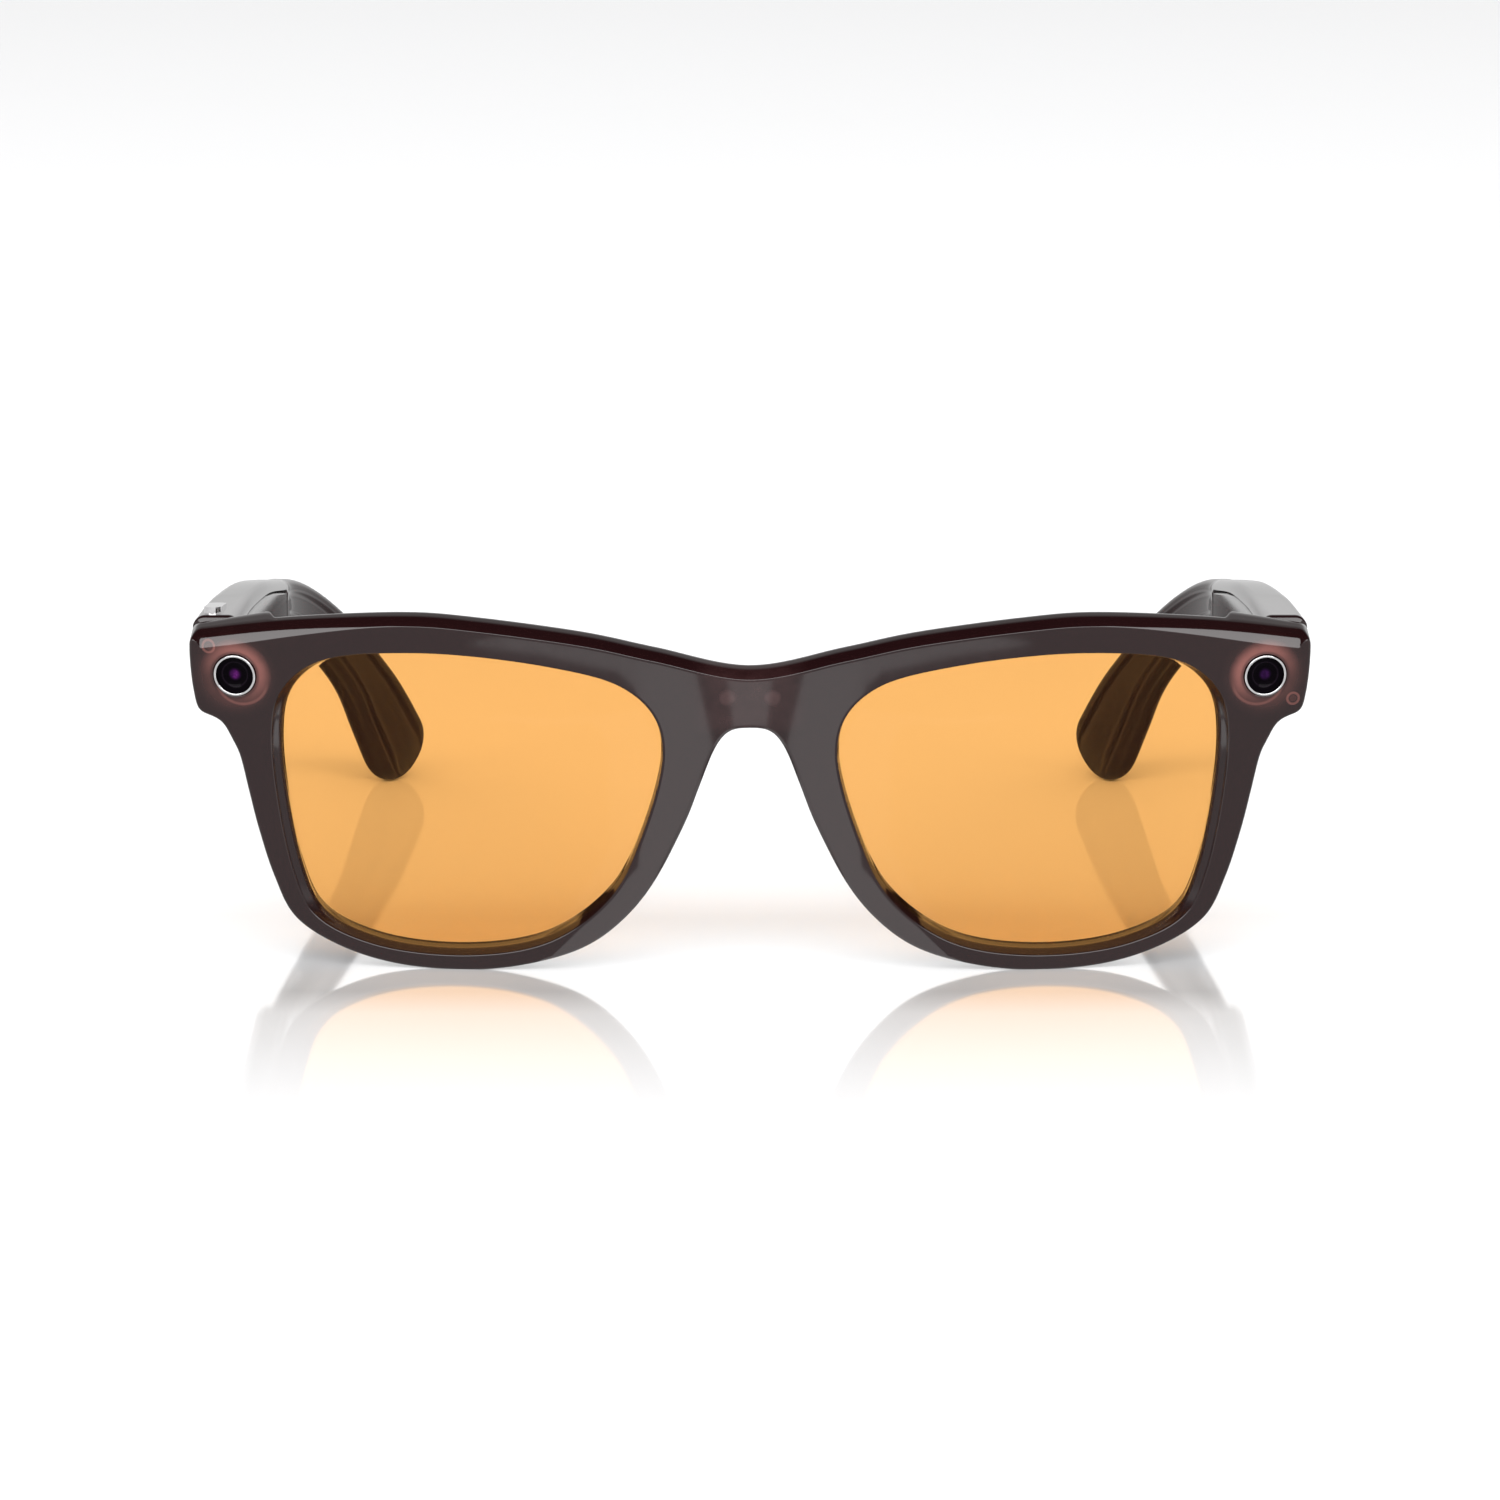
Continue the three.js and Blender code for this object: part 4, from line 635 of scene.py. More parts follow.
def temple_section(spine, s):
    """(inwards, upwards) pairs round the section, from the outer face over the top to the inner face."""
    past = ramp((s - spine[2]) / TIP_ROUND)
    share = max(0.0, 1 - past**TIP_SQUARE) ** (1 / TIP_SQUARE)
    thick = thickness(s)
    slim = (1 - 0.55 * past**1.5) * thick
    out, inner = (thick - slim) / 2, (thick + slim) / 2
    up, low = upper(s) * share, lower(s) * share
    corner = CORNER - 0.4 * ramp((s - HOUSING) / 20)
    r = max(0.02, min(corner, (inner - out) / 2 - 0.01, (up + low) / 2 - 0.01))
    points = []

    def arc(x, y, start, stop):
        for angle in np.linspace(start, stop, 9):
            points.append((x + r * math.cos(angle), y + r * math.sin(angle)))

    arc(out + r, up - r, math.pi, math.pi / 2)
    arc(inner - r, up - r, math.pi / 2, 0)
    top, base, depth = recess_at(s)
    top, base = min(top, up - r - 0.02), min(base, low - r - 0.02)
    for level, deep in ((top, 0), (top, depth), (top / 2, depth), (0, depth), (-base / 2, depth),
                        (-base, depth), (-base, 0)):
        points.append((inner - deep, level))
    arc(inner - r, r - low, 0, -math.pi / 2)
    under = grille_depth(s)
    a, b = (4.0, 1.4) if slim > 5 else (inner - r * 1.05, out + r * 1.05)
    for x, deep in ((a, 0), (a, under), (b, under), (b, 0)):
        points.append((x, deep - low))
    arc(out + r, r - low, -math.pi / 2, -math.pi)
    points += [(out, (r - low) * 0.5), (out, 0), (out, (up - r) * 0.5)]
    return points


def temple_distances(spine):
    end = spine[2]
    marks = [0, 0.25]
    for edge in (SEAT_END, *POCKET, *GRILLE):
        marks += [edge - 0.01, edge + 0.01]
    marks += [HOUSING, 94.3, 94.6, 94.9, HOUSING + STEP_LENGTH, 96]
    marks += list(np.arange(2, 92, 2.0)) + list(np.arange(97, end, 1.5)) + [end]
    marks += [end + TIP_ROUND * f for f in (0.15, 0.3, 0.45, 0.6, 0.72, 0.82, 0.9, 0.96, 0.99)]
    return sorted(set(marks))


def temple_rings(spine):
    rings = []
    for s in temple_distances(spine):
        point, _, out, up = place_at(spine, s)
        section = np.array(temple_section(spine, s))
        if s == 0:
            middle = section.mean(0)
            section = middle + (section - middle) * [0.94, 0.965]
        p = point - section[:, :1] * out + section[:, 1:] * up
        fade = ramp(1 - s / LEAN_LENGTH)
        p[:, 1] -= fade * (up[1] * section[:, 1] + p[:, 2] * math.tan(LEAN))
        rings.append(p)
    return rings


def standing_spine(height):
    fall = height
    for _ in range(4):
        lowest = min(ring[:, 2].min() for ring in temple_rings(temple_spine(fall)))
        fall += lowest + height
    return temple_spine(fall)


def temple_piece(spine, origin, side, name):
    shell = Shell()
    rings = temple_rings(spine)
    scale = np.array([side, 1, 1])
    ids = [shell.ring((ring * scale) * MM + np.array(origin)) for ring in rings]
    for a, b in zip(ids, ids[1:]):
        shell.band(a, b)
    for ring, k in ((ids[0], 0), (ids[-1], -1)):
        shell.cap(ring, rings[k].mean(0) * scale * MM + np.array(origin))
    return shell.build(name)


# ---- Nose pads ----


PAD_HALF, PAD_TALL, PAD_DEPTH = 1.9, 6.0, 4.2
PAD_U, PAD_W = 10.7, 20.5
PAD_SPLAY, PAD_TILT = math.radians(12), math.radians(24)
PAD_SUNK = -0.9  # its base reaches into the rim


def nose_pad(side, name):
    """A soft pad that grows out of the back of the rim."""
    shell = Shell()
    turn = np.linspace(0, 2 * math.pi, 65)[:-1]
    rows = [(1.0, PAD_SUNK), (0.985, 0.0), (0.965, 0.5)]
    for angle in np.linspace(0.12, math.pi / 2, 9)[:-1]:
        rows.append((0.965 * math.cos(angle), 0.5 + 3.7 * math.sin(angle)))
    base = THICK + front_depth(13)
    ids = []

    def world(x, depth, z):
        u = x * math.cos(PAD_SPLAY) - depth * math.sin(PAD_SPLAY)
        t = depth * math.cos(PAD_SPLAY) + x * math.sin(PAD_SPLAY)
        across = u * math.cos(PAD_TILT) - z * math.sin(PAD_TILT)
        up = u * math.sin(PAD_TILT) + z * math.cos(PAD_TILT)
        return to_world(side * (PAD_U + across), base + t, PAD_W + up)

    for share, depth in rows:
        x = PAD_HALF * share * np.sign(np.cos(turn)) * np.abs(np.cos(turn)) ** 0.9
        z = PAD_TALL * share * np.sin(turn)
        ids.append(shell.ring(world(x, depth, z)))
    for a, b in zip(ids, ids[1:]):
        shell.band(a, b)
    shell.cap(ids[0], world(0.0, PAD_SUNK, 0.0))
    shell.cap(ids[-1], world(0.0, PAD_DEPTH, 0.0))
    return shell.build(name)


# ---- Materials ----


class Paint:
    """A node material with one principled shader and short calls for its nodes."""

    def __init__(self, name):
        self.material = bpy.data.materials.new(name)
        self.material.use_nodes = True
        self.nodes = self.material.node_tree.nodes
        self.links = self.material.node_tree.links
        self.shader = self.nodes["Principled BSDF"]

    def node(self, kind, **values):
        made = self.nodes.new(kind)
        for key, value in values.items():
            if key in made.inputs:
                self.put(value, made.inputs[key])
            else:
                setattr(made, key, value)
        return made

    def put(self, value, socket):
        if isinstance(value, bpy.types.NodeSocket):
            self.links.new(value, socket)
        else:
            socket.default_value = value

    def set(self, **values):
        for key, value in values.items():
            self.put(value, self.shader.inputs[key.replace("_", " ")])
        return self

    def math(self, operation, a, b=0.0, c=0.0):
        made = self.nodes.new("ShaderNodeMath")
        made.operation = operation
        for i, value in enumerate((a, b, c)):
            self.put(value, made.inputs[i])
        return made.outputs[0]

    def step(self, low, high, value):
        """0 below low and 1 above high, smooth between; low may be the larger."""
        made = self.nodes.new("ShaderNodeMapRange")
        made.interpolation_type = "SMOOTHSTEP"
        flip = low > high
        self.put(value, made.inputs[0])
        made.inputs[1].default_value, made.inputs[2].default_value = (high, low) if flip else (low, high)
        made.inputs[3].default_value, made.inputs[4].default_value = (1, 0) if flip else (0, 1)
        return made.outputs[0]

    def mix(self, factor, a, b):
        made = self.nodes.new("ShaderNodeMix")
        made.data_type = "RGBA"
        for value, socket in ((factor, made.inputs[0]), (a, made.inputs[6]), (b, made.inputs[7])):
            if isinstance(value, tuple) and len(value) == 3:
                value = (*value, 1)
            self.put(value, socket)
        return made.outputs[2]

    def coords(self):
        return self.node("ShaderNodeTexCoord").outputs["Object"]

    def noise(self, scale, detail=3.0, rough=0.5, coords=None):
        made = self.node("ShaderNodeTexNoise")
        made.inputs["Scale"].default_value = scale
        made.inputs["Detail"].default_value = detail
        made.inputs["Roughness"].default_value = rough
        self.put(coords or self.coords(), made.inputs["Vector"])
        return made.outputs[0]

    def bump(self, height, distance, strength=1.0):
        made = self.node("ShaderNodeBump")
        made.inputs["Strength"].default_value = strength
        made.inputs["Distance"].default_value = distance
        self.put(height, made.inputs["Height"])
        self.put(made.outputs[0], self.shader.inputs["Normal"])
        return made

    def spread(self, low, high, value):
        """value from 0..1 to low..high."""
        made = self.nodes.new("ShaderNodeMapRange")
        self.put(value, made.inputs[0])
        made.inputs[3].default_value, made.inputs[4].default_value = low, high
        return made.outputs[0]


def give(obj, paint):
    obj.data.materials.clear()
    obj.data.materials.append(paint.material)


def front_place(p):
    """Sockets for (across, up) in mm on the front, from the object's own coordinates."""
    split = p.node("ShaderNodeSeparateXYZ", Vector=p.coords())
    u = p.math("MULTIPLY", split.outputs[0], 1000.0)
    y = p.math("SUBTRACT", p.math("MULTIPLY", split.outputs[1], 1000.0), FRONT_Y)
    z = p.math("SUBTRACT", p.math("MULTIPLY", split.outputs[2], 1000.0), FRONT_Z)
    down = p.math("MULTIPLY", y, -math.sin(LEAN))
    w = p.math("ADD", p.math("MULTIPLY", z, math.cos(LEAN)), down)
    return u, w


DARK = (0.0085, 0.0022, 0.0026)
DEEP = (0.0125, 0.004, 0.0042)
# Colour of the carriers glowing through the thin front wall: painted light.
PINK = (0.17, 0.062, 0.053)


def distance_to(p, u, w, at_u, at_w):
    du, dw = p.math("SUBTRACT", u, at_u), p.math("SUBTRACT", w, at_w)
    return p.math("SQRT", p.math("ADD", p.math("MULTIPLY", du, du), p.math("MULTIPLY", dw, dw)))


def plastic(name, front=False):
    """Polished dark plastic; on the front the parts behind its thin wall glow through, painted into its
    colour with painted light: brighter towards the top, painted shade next to the rings, painted
    highlights on the edges below them and lighter painted spots at the bridge.
    """
    p = Paint(name)
    cloud = p.noise(55.0, 4.0)
    fine = p.noise(900.0, 2.0)
    colour = p.mix(cloud, DARK, DEEP)
    if front:
        u, w = front_place(p)
        mottle = p.noise(420.0, 3.0, 0.6)
        for side in (-1, 1):
            # Painted light: the pink carrier seen through the thin wall, brighter towards the top and the
            # nose side, where more light comes through.
            r = distance_to(p, u, w, side * EYE_U, EYE_W)
            disc = p.step(5.0, 3.4, r)
            wide = p.step(6.0, 3.6, r)
            slant = p.math("MULTIPLY", p.math("SUBTRACT", u, side * EYE_U), -0.7 * side)
            slant = p.math("ADD", p.math("SUBTRACT", w, EYE_W), slant)
            brighter_above = p.spread(0.12, 1.0, p.step(-4.0, 4.2, slant))
            glow = p.math("MULTIPLY", disc, brighter_above)
            glow = p.math("ADD", p.math("MULTIPLY", glow, 0.85), p.math("MULTIPLY", wide, 0.08))
            # Painted shade: the glow darkens in a ring next to the trim ring.
            shade = p.step(3.0, 3.35, r)
            glow = p.math("MULTIPLY", glow, p.spread(0.45, 1.0, shade))
            glow = p.math("MULTIPLY", glow, p.spread(0.7, 1.25, mottle))
            # Painted highlight: a bright crescent on the moulded edge below the ring.
            inner = distance_to(p, u, w, side * (EYE_U - 0.9), EYE_W - 0.5)
            edge_highlight = p.math("MULTIPLY", p.step(3.05, 3.3, inner), p.step(3.62, 3.42, inner))
            lower_side = p.step(EYE_W - 0.5, EYE_W - 2.5, w)
            lower_edge_highlight = p.math("MULTIPLY", edge_highlight, lower_side)
            glow = p.math("ADD", glow, p.math("MULTIPLY", lower_edge_highlight, 0.35))
            # The carrier's tab and its hole, seen through the wall as part of the painted glow.
            angle = math.radians(48 if side < 0 else -42)
            tab_u, tab_w = side * (EYE_U + 5.0 * math.cos(angle)), EYE_W + 5.0 * math.sin(angle)
            tab = distance_to(p, u, w, tab_u, tab_w)
            ring = p.math("MULTIPLY", p.step(0.95, 0.85, tab), p.step(0.5, 0.68, tab))
            core = p.step(0.5, 0.4, tab)
            glow = p.math("ADD", glow, p.math("MULTIPLY", ring, 0.5))
            glow = p.math("ADD", glow, p.math("MULTIPLY", core, 0.12))
            colour = p.mix(p.math("MINIMUM", glow, 1.0), colour, PINK)
        # Painted light: lighter spots either side of the bridge and a lighter bridge, where light comes
        # through the thin plastic.
        for side in (-1, 1):
            bump = distance_to(p, u, w, side * 2.9, 38.2)
            soft = p.math("MULTIPLY", p.step(1.3, 0.6, bump), p.spread(0.05, 0.16, mottle))
            colour = p.mix(soft, colour, (0.22, 0.12, 0.12))
        bridge = p.math("MULTIPLY", p.step(8.0, 4.0, p.math("ABSOLUTE", u)), p.step(33.0, 35.0, w))
        colour = p.mix(p.math("MULTIPLY", bridge, p.spread(0.0, 0.1, mottle)), colour, (0.2, 0.1, 0.1))
    p.set(Base_Color=colour, Roughness=p.spread(0.035, 0.09, fine), IOR=1.5)
    p.shader.inputs["Specular IOR Level"].default_value = 0.5
    p.bump(p.noise(60.0, 1.0), 0.000004, 0.2)
    return p


def tinted_lens():
    p = Paint("amber_lens")
    tone = p.noise(14.0, 2.0)
    colour = p.mix(tone, (0.82, 0.408, 0.118), (0.805, 0.425, 0.13))
    p.set(Base_Color=colour, Roughness=p.spread(0.0, 0.012, p.noise(220.0, 2.0)), IOR=1.16)
    p.shader.inputs["Transmission Weight"].default_value = 1.0
    p.shader.inputs["Specular IOR Level"].default_value = 0.4
    p.bump(p.noise(30.0, 1.0), 0.000004, 0.15)
    return p


def metal(name, colour, rough=(0.1, 0.26), grain=1500.0):
    p = Paint(name)
    fine = p.noise(grain, 3.0, 0.6)
    tone = tuple(c * 0.82 for c in colour)
    p.set(Base_Color=p.mix(fine, tone, colour), Metallic=1.0, Roughness=p.spread(*rough, fine))
    p.bump(fine, 0.00001, 0.3)
    return p


def speckled(name, a, b, scale, rough, bump=0.00002, metallic=0.0):
    p = Paint(name)
    n = p.noise(scale, 4.0, 0.6)
    colour = p.mix(p.step(0.35, 0.65, n), a, b)
    p.set(Base_Color=colour, Metallic=metallic, Roughness=p.spread(*rough, n))
    p.bump(n, bump, 0.4)
    return p


def circuit_board():
    p = Paint("circuit_board")
    cells = p.node("ShaderNodeTexBrick", Vector=p.coords())
    for key, value in (("Scale", 700.0), ("Mortar Size", 0.03)):
        cells.inputs[key].default_value = value
    cells.inputs["Color1"].default_value = (0.012, 0.07, 0.03, 1)
    cells.inputs["Color2"].default_value = (0.018, 0.09, 0.035, 1)
    cells.inputs["Mortar"].default_value = (0.5, 0.33, 0.12, 1)
    n = p.noise(600.0, 3.0)
    p.set(Base_Color=cells.outputs[0], Roughness=p.spread(0.3, 0.5, n))
    p.bump(n, 0.00003, 0.3)
    return p


def eye_glass(name, centre, coating_reflections, strength):
    """Black glass over a coated lens, with painted reflections: rings of colour about its middle where the
    coating reflects light, and a painted glint.
    """
    p = Paint(name)
    split = p.node("ShaderNodeVectorMath", operation="DISTANCE")
    p.put(p.coords(), split.inputs[0])
    split.inputs[1].default_value = centre
    r = p.math("MULTIPLY", split.outputs["Value"], 1000.0)
    mottle = p.noise(1500.0, 3.0, 0.65)
    # Painted reflections of the coating: a purple dot, a mottled core and a bluer glint.
    outer, middle, glint_colour = coating_reflections
    dot = p.step(0.95, 0.35, r)
    colour = p.mix(p.math("MULTIPLY", dot, strength), (0.0012, 0.0006, 0.0014), outer)
    core = p.math("MULTIPLY", p.step(0.75, 0.2, r), p.step(0.35, 0.75, mottle))
    colour = p.mix(p.math("MULTIPLY", core, strength), colour, middle)
    glint = p.math("MULTIPLY", p.step(0.5, 0.05, r), p.step(0.58, 0.8, mottle))
    colour = p.mix(p.math("MULTIPLY", glint, strength), colour, glint_colour)
    ring = p.math("MULTIPLY", p.step(1.55, 1.62, r), p.step(1.78, 1.7, r))
    colour = p.mix(p.math("MULTIPLY", ring, 0.25), colour, (0.02, 0.012, 0.022))
    p.set(Base_Color=colour, Roughness=p.spread(0.03, 0.07, mottle), IOR=1.5)
    p.shader.inputs["Specular IOR Level"].default_value = 0.03
    p.bump(mottle, 0.000003, 0.2)
    return p


FRONT_PLASTIC = plastic("front_plastic", True)
TEMPLE_PLASTIC = plastic("temple_plastic")
LENS = tinted_lens()
SILVER = metal("polished_silver", (0.86, 0.85, 0.86), (0.06, 0.16), 2500.0)
STEEL = metal("hinge_steel", (0.55, 0.55, 0.56), (0.2, 0.36))
GOLD = metal("contact_gold", (0.83, 0.62, 0.3), (0.15, 0.3))
FOIL = metal("battery_foil", (0.6, 0.62, 0.64), (0.3, 0.45), 400.0)
BLACK = speckled("black_plastic", (0.006, 0.006, 0.007), (0.014, 0.013, 0.014), 700.0, (0.3, 0.48))
CARRIER = speckled("carrier_plastic", (0.2, 0.075, 0.062), (0.26, 0.1, 0.085), 500.0, (0.3, 0.42))
COPPER = speckled("flex_film", (0.34, 0.13, 0.045), (0.46, 0.19, 0.07), 300.0, (0.35, 0.5))
CLEAR = speckled("clear_plastic", (0.75, 0.77, 0.78), (0.85, 0.86, 0.86), 300.0, (0.1, 0.2))
BOARD = circuit_board()

# The CAD nodes' own looks, by the start of their names.
NODE_PAINT = [
    ("brow_cover", TEMPLE_PLASTIC), ("front_frame", TEMPLE_PLASTIC), ("temple_shell", TEMPLE_PLASTIC),
    ("temple_cover", TEMPLE_PLASTIC), ("nose_pad", TEMPLE_PLASTIC), ("lens", LENS), ("front_flex", COPPER),
    ("touch_film", COPPER), ("charging_plate", BLACK), ("charging_contact", GOLD),
    ("bridge_microphone", FOIL), ("temple_microphone", FOIL), ("battery_board", BOARD),
    ("battery", FOIL), ("shield_can", FOIL), ("camera_carrier", CARRIER), ("light_carrier", CARRIER),
    ("camera_board", BOARD), ("light_board", BOARD), ("main_board", BOARD), ("camera_barrel", BLACK),
    ("light_guide", CLEAR), ("camera_", SILVER), ("light_", SILVER), ("hinge", STEEL),
    ("tip_core", STEEL), ("speaker", BLACK), ("switch_base", BLACK), ("power_switch", BLACK),
    ("capture_button", SILVER), ("button_switch", FOIL),
]
for name, node in NODES.items():
    give(node, next(paint for start, paint in NODE_PAINT if name.startswith(start)))

# ---- The pieces ----

front = front_piece()
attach(front, "front")
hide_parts("front_frame")
give(front, FRONT_PLASTIC)

for side, word in ((1, "left"), (-1, "right")):
    lens = lens_piece(side, f"tinted_lens_{word}")
    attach(lens, "front")
    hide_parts(f"lens_{word}")
    give(lens, LENS)

    cover = brow_cover(side, f"channel_cover_{word}")
    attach(cover, "front")
    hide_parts(f"brow_cover_{word}")
    give(cover, TEMPLE_PLASTIC)

    pad = nose_pad(side, f"soft_pad_{word}")
    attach(pad, "front")
    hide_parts(f"nose_pad_{word}")
    give(pad, TEMPLE_PLASTIC)

    hinge = next(j for j in frame["joints"] if j["name"] == f"temple_{word}_fold")
    origin = hinge["pos_m"]
    spine = standing_spine(origin[2] / MM)
    temple = temple_piece(spine, origin, side, f"temple_arm_{word}")
    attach(temple, f"temple_{word}")
    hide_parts(f"temple_shell_{word}")
    give(temple, TEMPLE_PLASTIC)

# (radius, depth): a small domed lens in the middle, a step round it and the flat window.
GLASS_PROFILE = [
    (0, 0.36), (0.3, 0.38), (0.6, 0.43), (0.9, 0.51), (1.05, 0.56), (1.12, 0.52), (1.6, 0.5),
    (1.68, 0.4), (2.2, 0.36), (2.32, 0.34), (2.6, 0.34), (2.7, 0.45), (2.7, 0.95), (0, 0.95),
]
# (side, name, painted reflection colours of the coating: outer, middle and glint, their strength)
EYES = (
    (-1, "camera", ((0.028, 0.004, 0.04), (0.1, 0.012, 0.12), (0.06, 0.05, 0.3)), 0.85),
    (1, "light", ((0.014, 0.003, 0.024), (0.03, 0.006, 0.05), (0.04, 0.02, 0.09)), 0.75),
)
for side, word, coating_reflections, strength in EYES:
    place = eye_frame(side)
    ring = lathe(f"{word}_ring", rounded_ring(RING_RADIUS - 0.3, RING_RADIUS, -0.2, 0.25, 0.1), place)
    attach(ring, "front")
    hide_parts(f"{word}_trim_ring")
    give(ring, SILVER)
    glass = lathe(f"{word}_glass", GLASS_PROFILE, place)
    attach(glass, "front")
    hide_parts(f"{word}_window")
    middle = to_world(side * EYE_U, front_depth(EYE_U) + 0.45, EYE_W)
    give(glass, eye_glass(f"{word}_dark_glass", tuple(middle), coating_reflections, strength))

# ---- Studio ----

CAMERA_PLACE = (0.0, -0.90723, 0.17702)


def stage_plane(name, corners, paint_nodes):
    mesh = bpy.data.meshes.new(name)
    mesh.from_pydata([tuple(c) for c in corners], [], [tuple(range(len(corners)))])
    obj = bpy.data.objects.new(name, mesh)
    bpy.context.scene.collection.objects.link(obj)
    material = bpy.data.materials.new(name)
    material.use_nodes = True
    material.node_tree.nodes.clear()
    paint_nodes(material.node_tree)
    mesh.materials.append(material)
    return obj


# How much of the mirror image the floor keeps, from front to back in metres.
FADE_START, FADE_END = -0.2, 0.1
FADE = [
    (-0.199, 0.0), (-0.165, 0.18), (-0.12, 0.33), (-0.095, 0.42), (-0.082, 0.6), (-0.065, 0.5),
    (-0.03, 0.2), (0.08, 0.17),
]
# Glossy pieces see the floor as an even glow, with painted shade between the temples where the glasses
# shade it.
FLOOR_SEEN, FLOOR_SHADED_BETWEEN = 0.72, 0.3  # what glossy pieces see of it: all round, and between the temples
# (axis, outside, inside) of the stretch between the temples.
BETWEEN = [(0, -0.075, -0.055), (0, 0.075, 0.055), (1, -0.06, -0.045), (1, 0.09, 0.07)]


def shade_below(tree, place, socket):
    """What glossy pieces see of the floor: an even glow, with painted shade between the temples."""
    nodes = tree.nodes
    split = nodes.new("ShaderNodeSeparateXYZ")
    tree.links.new(place.outputs["Object"], split.inputs[0])
    masks = []
    for output, low, high in BETWEEN:
        ramp_node = nodes.new("ShaderNodeMapRange")
        tree.links.new(split.outputs[output], ramp_node.inputs[0])
        ramp_node.inputs[1].default_value, ramp_node.inputs[2].default_value = low, high
        masks.append(ramp_node.outputs[0])
    product = masks[0]
    for mask in masks[1:]:
        times = nodes.new("ShaderNodeMath")
        times.operation = "MULTIPLY"
        tree.links.new(product, times.inputs[0])
        tree.links.new(mask, times.inputs[1])
        product = times.outputs[0]
    level = nodes.new("ShaderNodeMapRange")
    tree.links.new(product, level.inputs[0])
    level.inputs[3].default_value, level.inputs[4].default_value = FLOOR_SEEN, FLOOR_SHADED_BETWEEN
    tree.links.new(level.outputs[0], socket)


def floor_nodes(tree):
    """White gloss floor whose mirror image fades out in front of the glasses."""
    new, link = tree.nodes.new, tree.links.new
    out, mix = new("ShaderNodeOutputMaterial"), new("ShaderNodeMixShader")
    matt, gloss = new("ShaderNodeBsdfDiffuse"), new("ShaderNodeBsdfGlossy")
    matt.inputs["Color"].default_value = (0.93, 0.93, 0.935, 1)
    gloss.inputs["Color"].default_value = (1, 1, 1, 1)
    gloss.inputs["Roughness"].default_value = 0.05
    place, split = new("ShaderNodeTexCoord"), new("ShaderNodeSeparateXYZ")
    reach, fade = new("ShaderNodeMapRange"), new("ShaderNodeValToRGB")
    path, even = new("ShaderNodeLightPath"), new("ShaderNodeEmission")
    choose = new("ShaderNodeMixShader")
    link(place.outputs["Object"], split.inputs[0])
    link(split.outputs[1], reach.inputs[0])
    reach.inputs[1].default_value, reach.inputs[2].default_value = FADE_START, FADE_END
    link(reach.outputs[0], fade.inputs[0])
    while len(fade.color_ramp.elements) < len(FADE):
        fade.color_ramp.elements.new(0.5)
    for element, (y, value) in zip(fade.color_ramp.elements, FADE):
        element.position = (y - FADE_START) / (FADE_END - FADE_START)
        element.color = (value, value, value, 1)
    link(fade.outputs[0], mix.inputs[0])
    link(matt.outputs[0], mix.inputs[1])
    link(gloss.outputs[0], mix.inputs[2])
    shade_below(tree, place, even.inputs["Strength"])
    seen = new("ShaderNodeMath")
    seen.operation = "SUBTRACT"
    seen.use_clamp = True
    link(path.outputs["Is Glossy Ray"], seen.inputs[0])
    link(path.outputs["Is Transmission Ray"], seen.inputs[1])
    link(seen.outputs[0], choose.inputs[0])
    link(mix.outputs[0], choose.inputs[1])
    link(even.outputs[0], choose.inputs[2])
    link(choose.outputs[0], out.inputs[0])


FLOOR = 3.0
FLOOR_CORNERS = [(-FLOOR, -FLOOR, 0), (FLOOR, -FLOOR, 0), (FLOOR, FLOOR, 0), (-FLOOR, FLOOR, 0)]
stage_plane("floor", FLOOR_CORNERS, floor_nodes)


def glow_nodes(strength):
    """Shines upwards only, and is clear from below."""

    def build(tree):
        new, link = tree.nodes.new, tree.links.new
        out, mix = new("ShaderNodeOutputMaterial"), new("ShaderNodeMixShader")
        shine, clear = new("ShaderNodeEmission"), new("ShaderNodeBsdfTransparent")
        side = new("ShaderNodeNewGeometry")
        shine.inputs["Strength"].default_value = strength
        link(side.outputs["Backfacing"], mix.inputs[0])
        link(shine.outputs[0], mix.inputs[1])
        link(clear.outputs[0], mix.inputs[2])
        link(mix.outputs[0], out.inputs[0])

    return build


CARD_HEIGHT = 0.0006  # the light cards lie just above the floor


def mirrored_on_floor(u, w):
    """Where on the floor the camera sees the mirror image in the front at (across, up)."""
    point = Vector(to_world(u, front_depth(u), w).tolist())
    turn = math.atan(u / FRONT_RADIUS)
    local = Vector((math.sin(turn), -math.cos(turn), 0))
    normal = Matrix.Rotation(LEAN, 3, "X") @ local
    ray = (point - Vector(CAMERA_PLACE)).normalized()
    bounced = ray - 2 * ray.dot(normal) * normal
    return point + bounced * ((point.z - CARD_HEIGHT) / -bounced.z)


def card(name, spots, strength):
    corners = [mirrored_on_floor(u, w) for u, w in spots]
    turned = sum((a.x * b.y - b.x * a.y) for a, b in zip(corners, corners[1:] + corners[:1]))
    if turned < 0:
        corners.reverse()
    obj = stage_plane(name, corners, glow_nodes(strength))
    obj.visible_camera = obj.visible_diffuse = obj.visible_shadow = obj.visible_transmission = False
    return obj


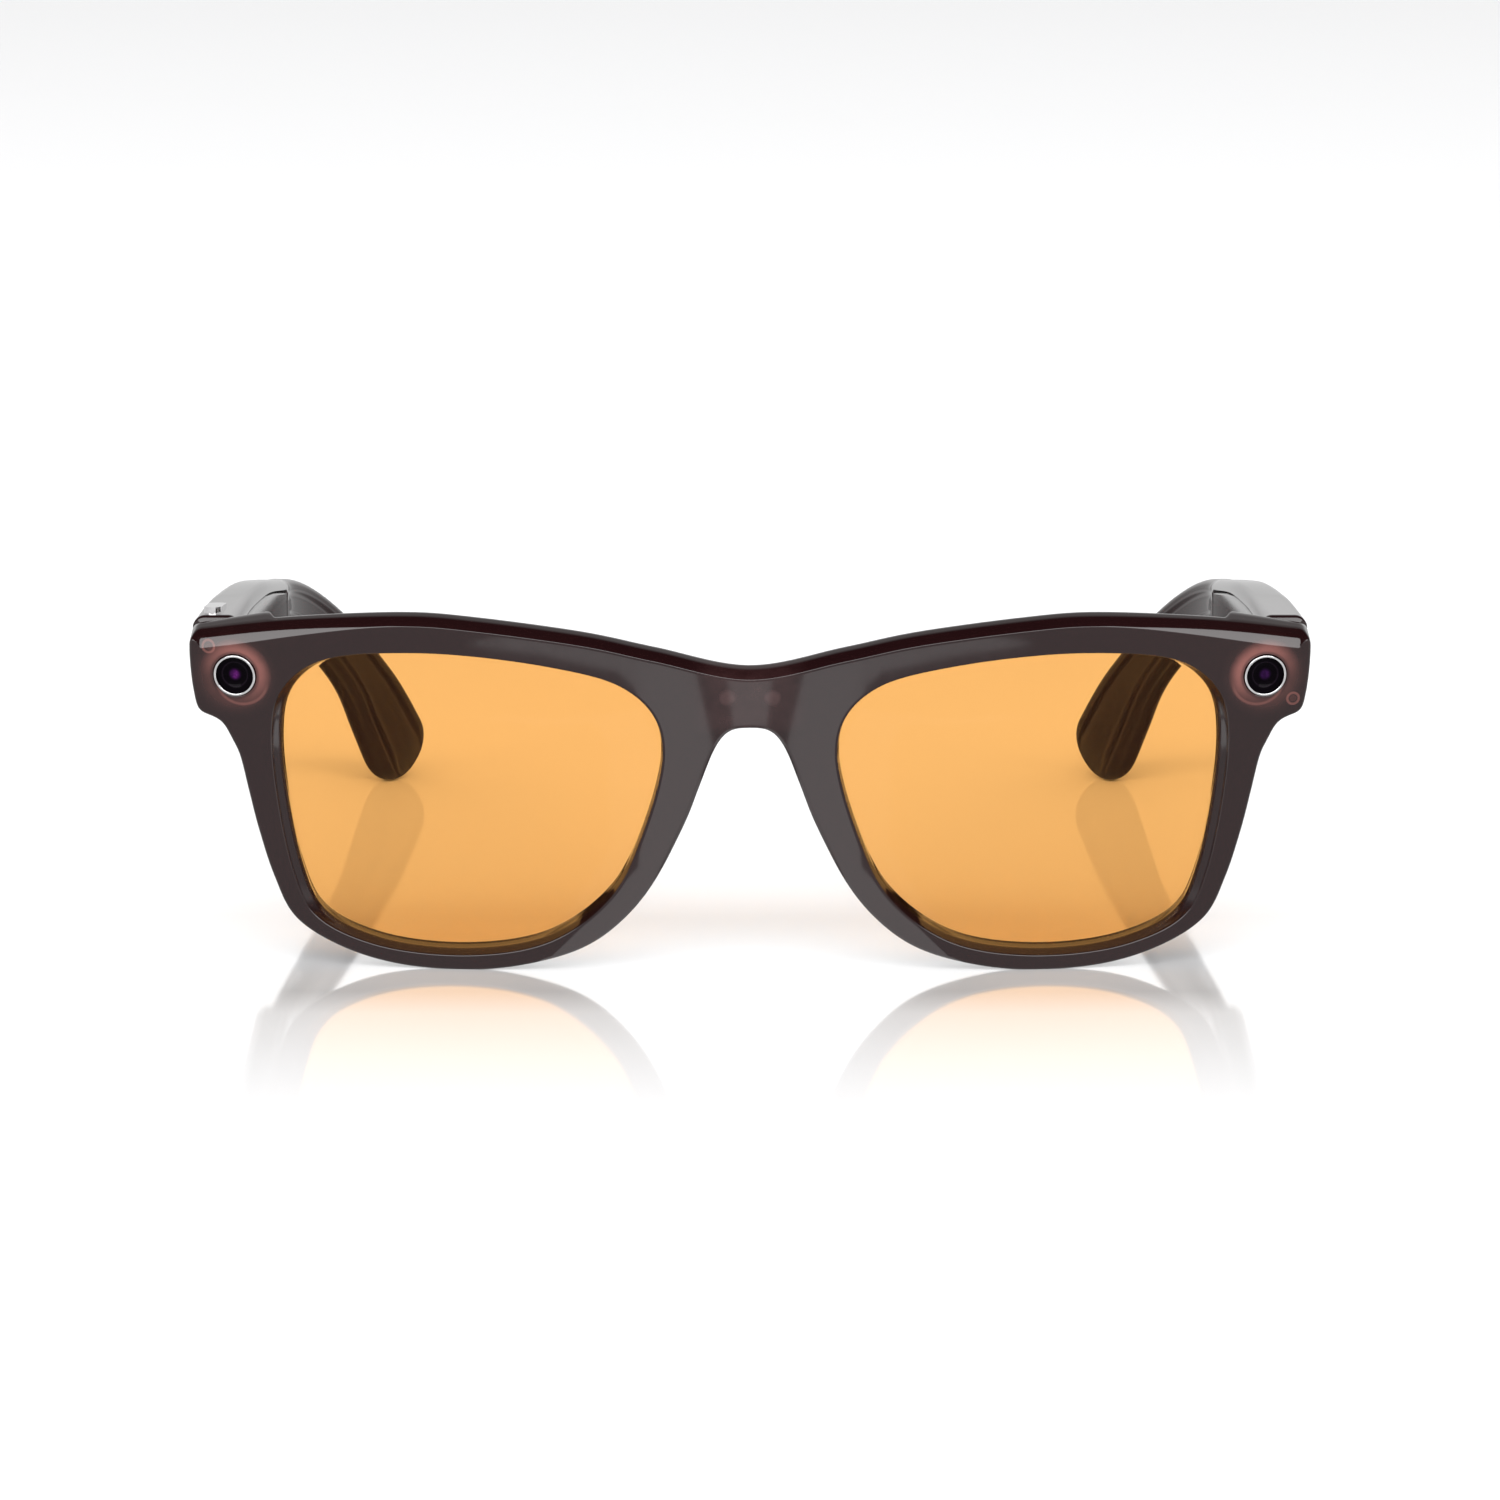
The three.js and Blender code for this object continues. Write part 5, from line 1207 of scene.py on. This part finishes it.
# Each card's outline is given where its mirror image lies on the front, as (across, up).
NASAL = [(7.4, 44), (5.0, 33), (2.5, 20), (2.5, 0), (28, 0), (14.5, 15), (13, 33), (16, 44)]
WEDGE = [(36.5, 45.0), (30, 46.6), (15, 44.6), (13, 38), (17, 41.6), (26, 43.6)]
for side, word in ((1, "left"), (-1, "right")):
    card(f"card_{word}", [(side * u, w) for u, w in NASAL], 1.9)
for side in (1, -1):
    card(f"card_brow_{side + 1}", [(side * u, w) for u, w in WEDGE], 1.8)
card("card_middle", [(-3.2, 44), (3.2, 44), (2.0, 33), (-2.0, 33)], 1.7)


def area(name, place, aim, size, power, glossy=True):
    data = bpy.data.lights.new(name, "AREA")
    data.shape = "RECTANGLE"
    data.size, data.size_y = size
    data.energy = power
    lamp = bpy.data.objects.new(name, data)
    lamp.location = place
    lamp.rotation_euler = (Vector(aim) - Vector(place)).to_track_quat("-Z", "Y").to_euler()
    lamp.visible_glossy = glossy
    bpy.context.scene.collection.objects.link(lamp)
    return lamp


area("overhead", (0, 2.0, 3.0), (0, 2.0, 0), (10.0, 12.0), 300.0, False)
area("front_box", (0, -2.2, 1.45), (0, -0.07, 0.03), (5.0, 1.5), 120.0)

world = bpy.data.worlds.new("studio")
bpy.context.scene.world = world
world.use_nodes = True
tree = world.node_tree
back = tree.nodes["Background"]
coords, split = tree.nodes.new("ShaderNodeTexCoord"), tree.nodes.new("ShaderNodeSeparateXYZ")
band = tree.nodes.new("ShaderNodeValToRGB")
tree.links.new(coords.outputs["Generated"], split.inputs[0])
tree.links.new(split.outputs[2], band.inputs[0])
SKY = [(0.0, 0.72), (0.1, 1.0), (0.22, 1.0), (0.34, 0.4), (0.5, 0.24), (0.68, 0.06), (0.8, 0.005)]
while len(band.color_ramp.elements) < len(SKY):
    band.color_ramp.elements.new(0.5)
for element, (height, value) in zip(band.color_ramp.elements, SKY):
    element.position, element.color = height, (value, value, value, 1)
tree.links.new(band.outputs[0], back.inputs[0])

camera_data = bpy.data.cameras.new("camera")
camera_data.lens = 157.49
camera_data.sensor_width = 36
camera_data.clip_end = 20
camera = bpy.data.objects.new("camera", camera_data)
camera.location = CAMERA_PLACE
camera.rotation_euler = (math.radians(80), 0, 0)
bpy.context.scene.collection.objects.link(camera)
bpy.context.scene.camera = camera
bpy.context.scene.view_settings.view_transform = "Standard"
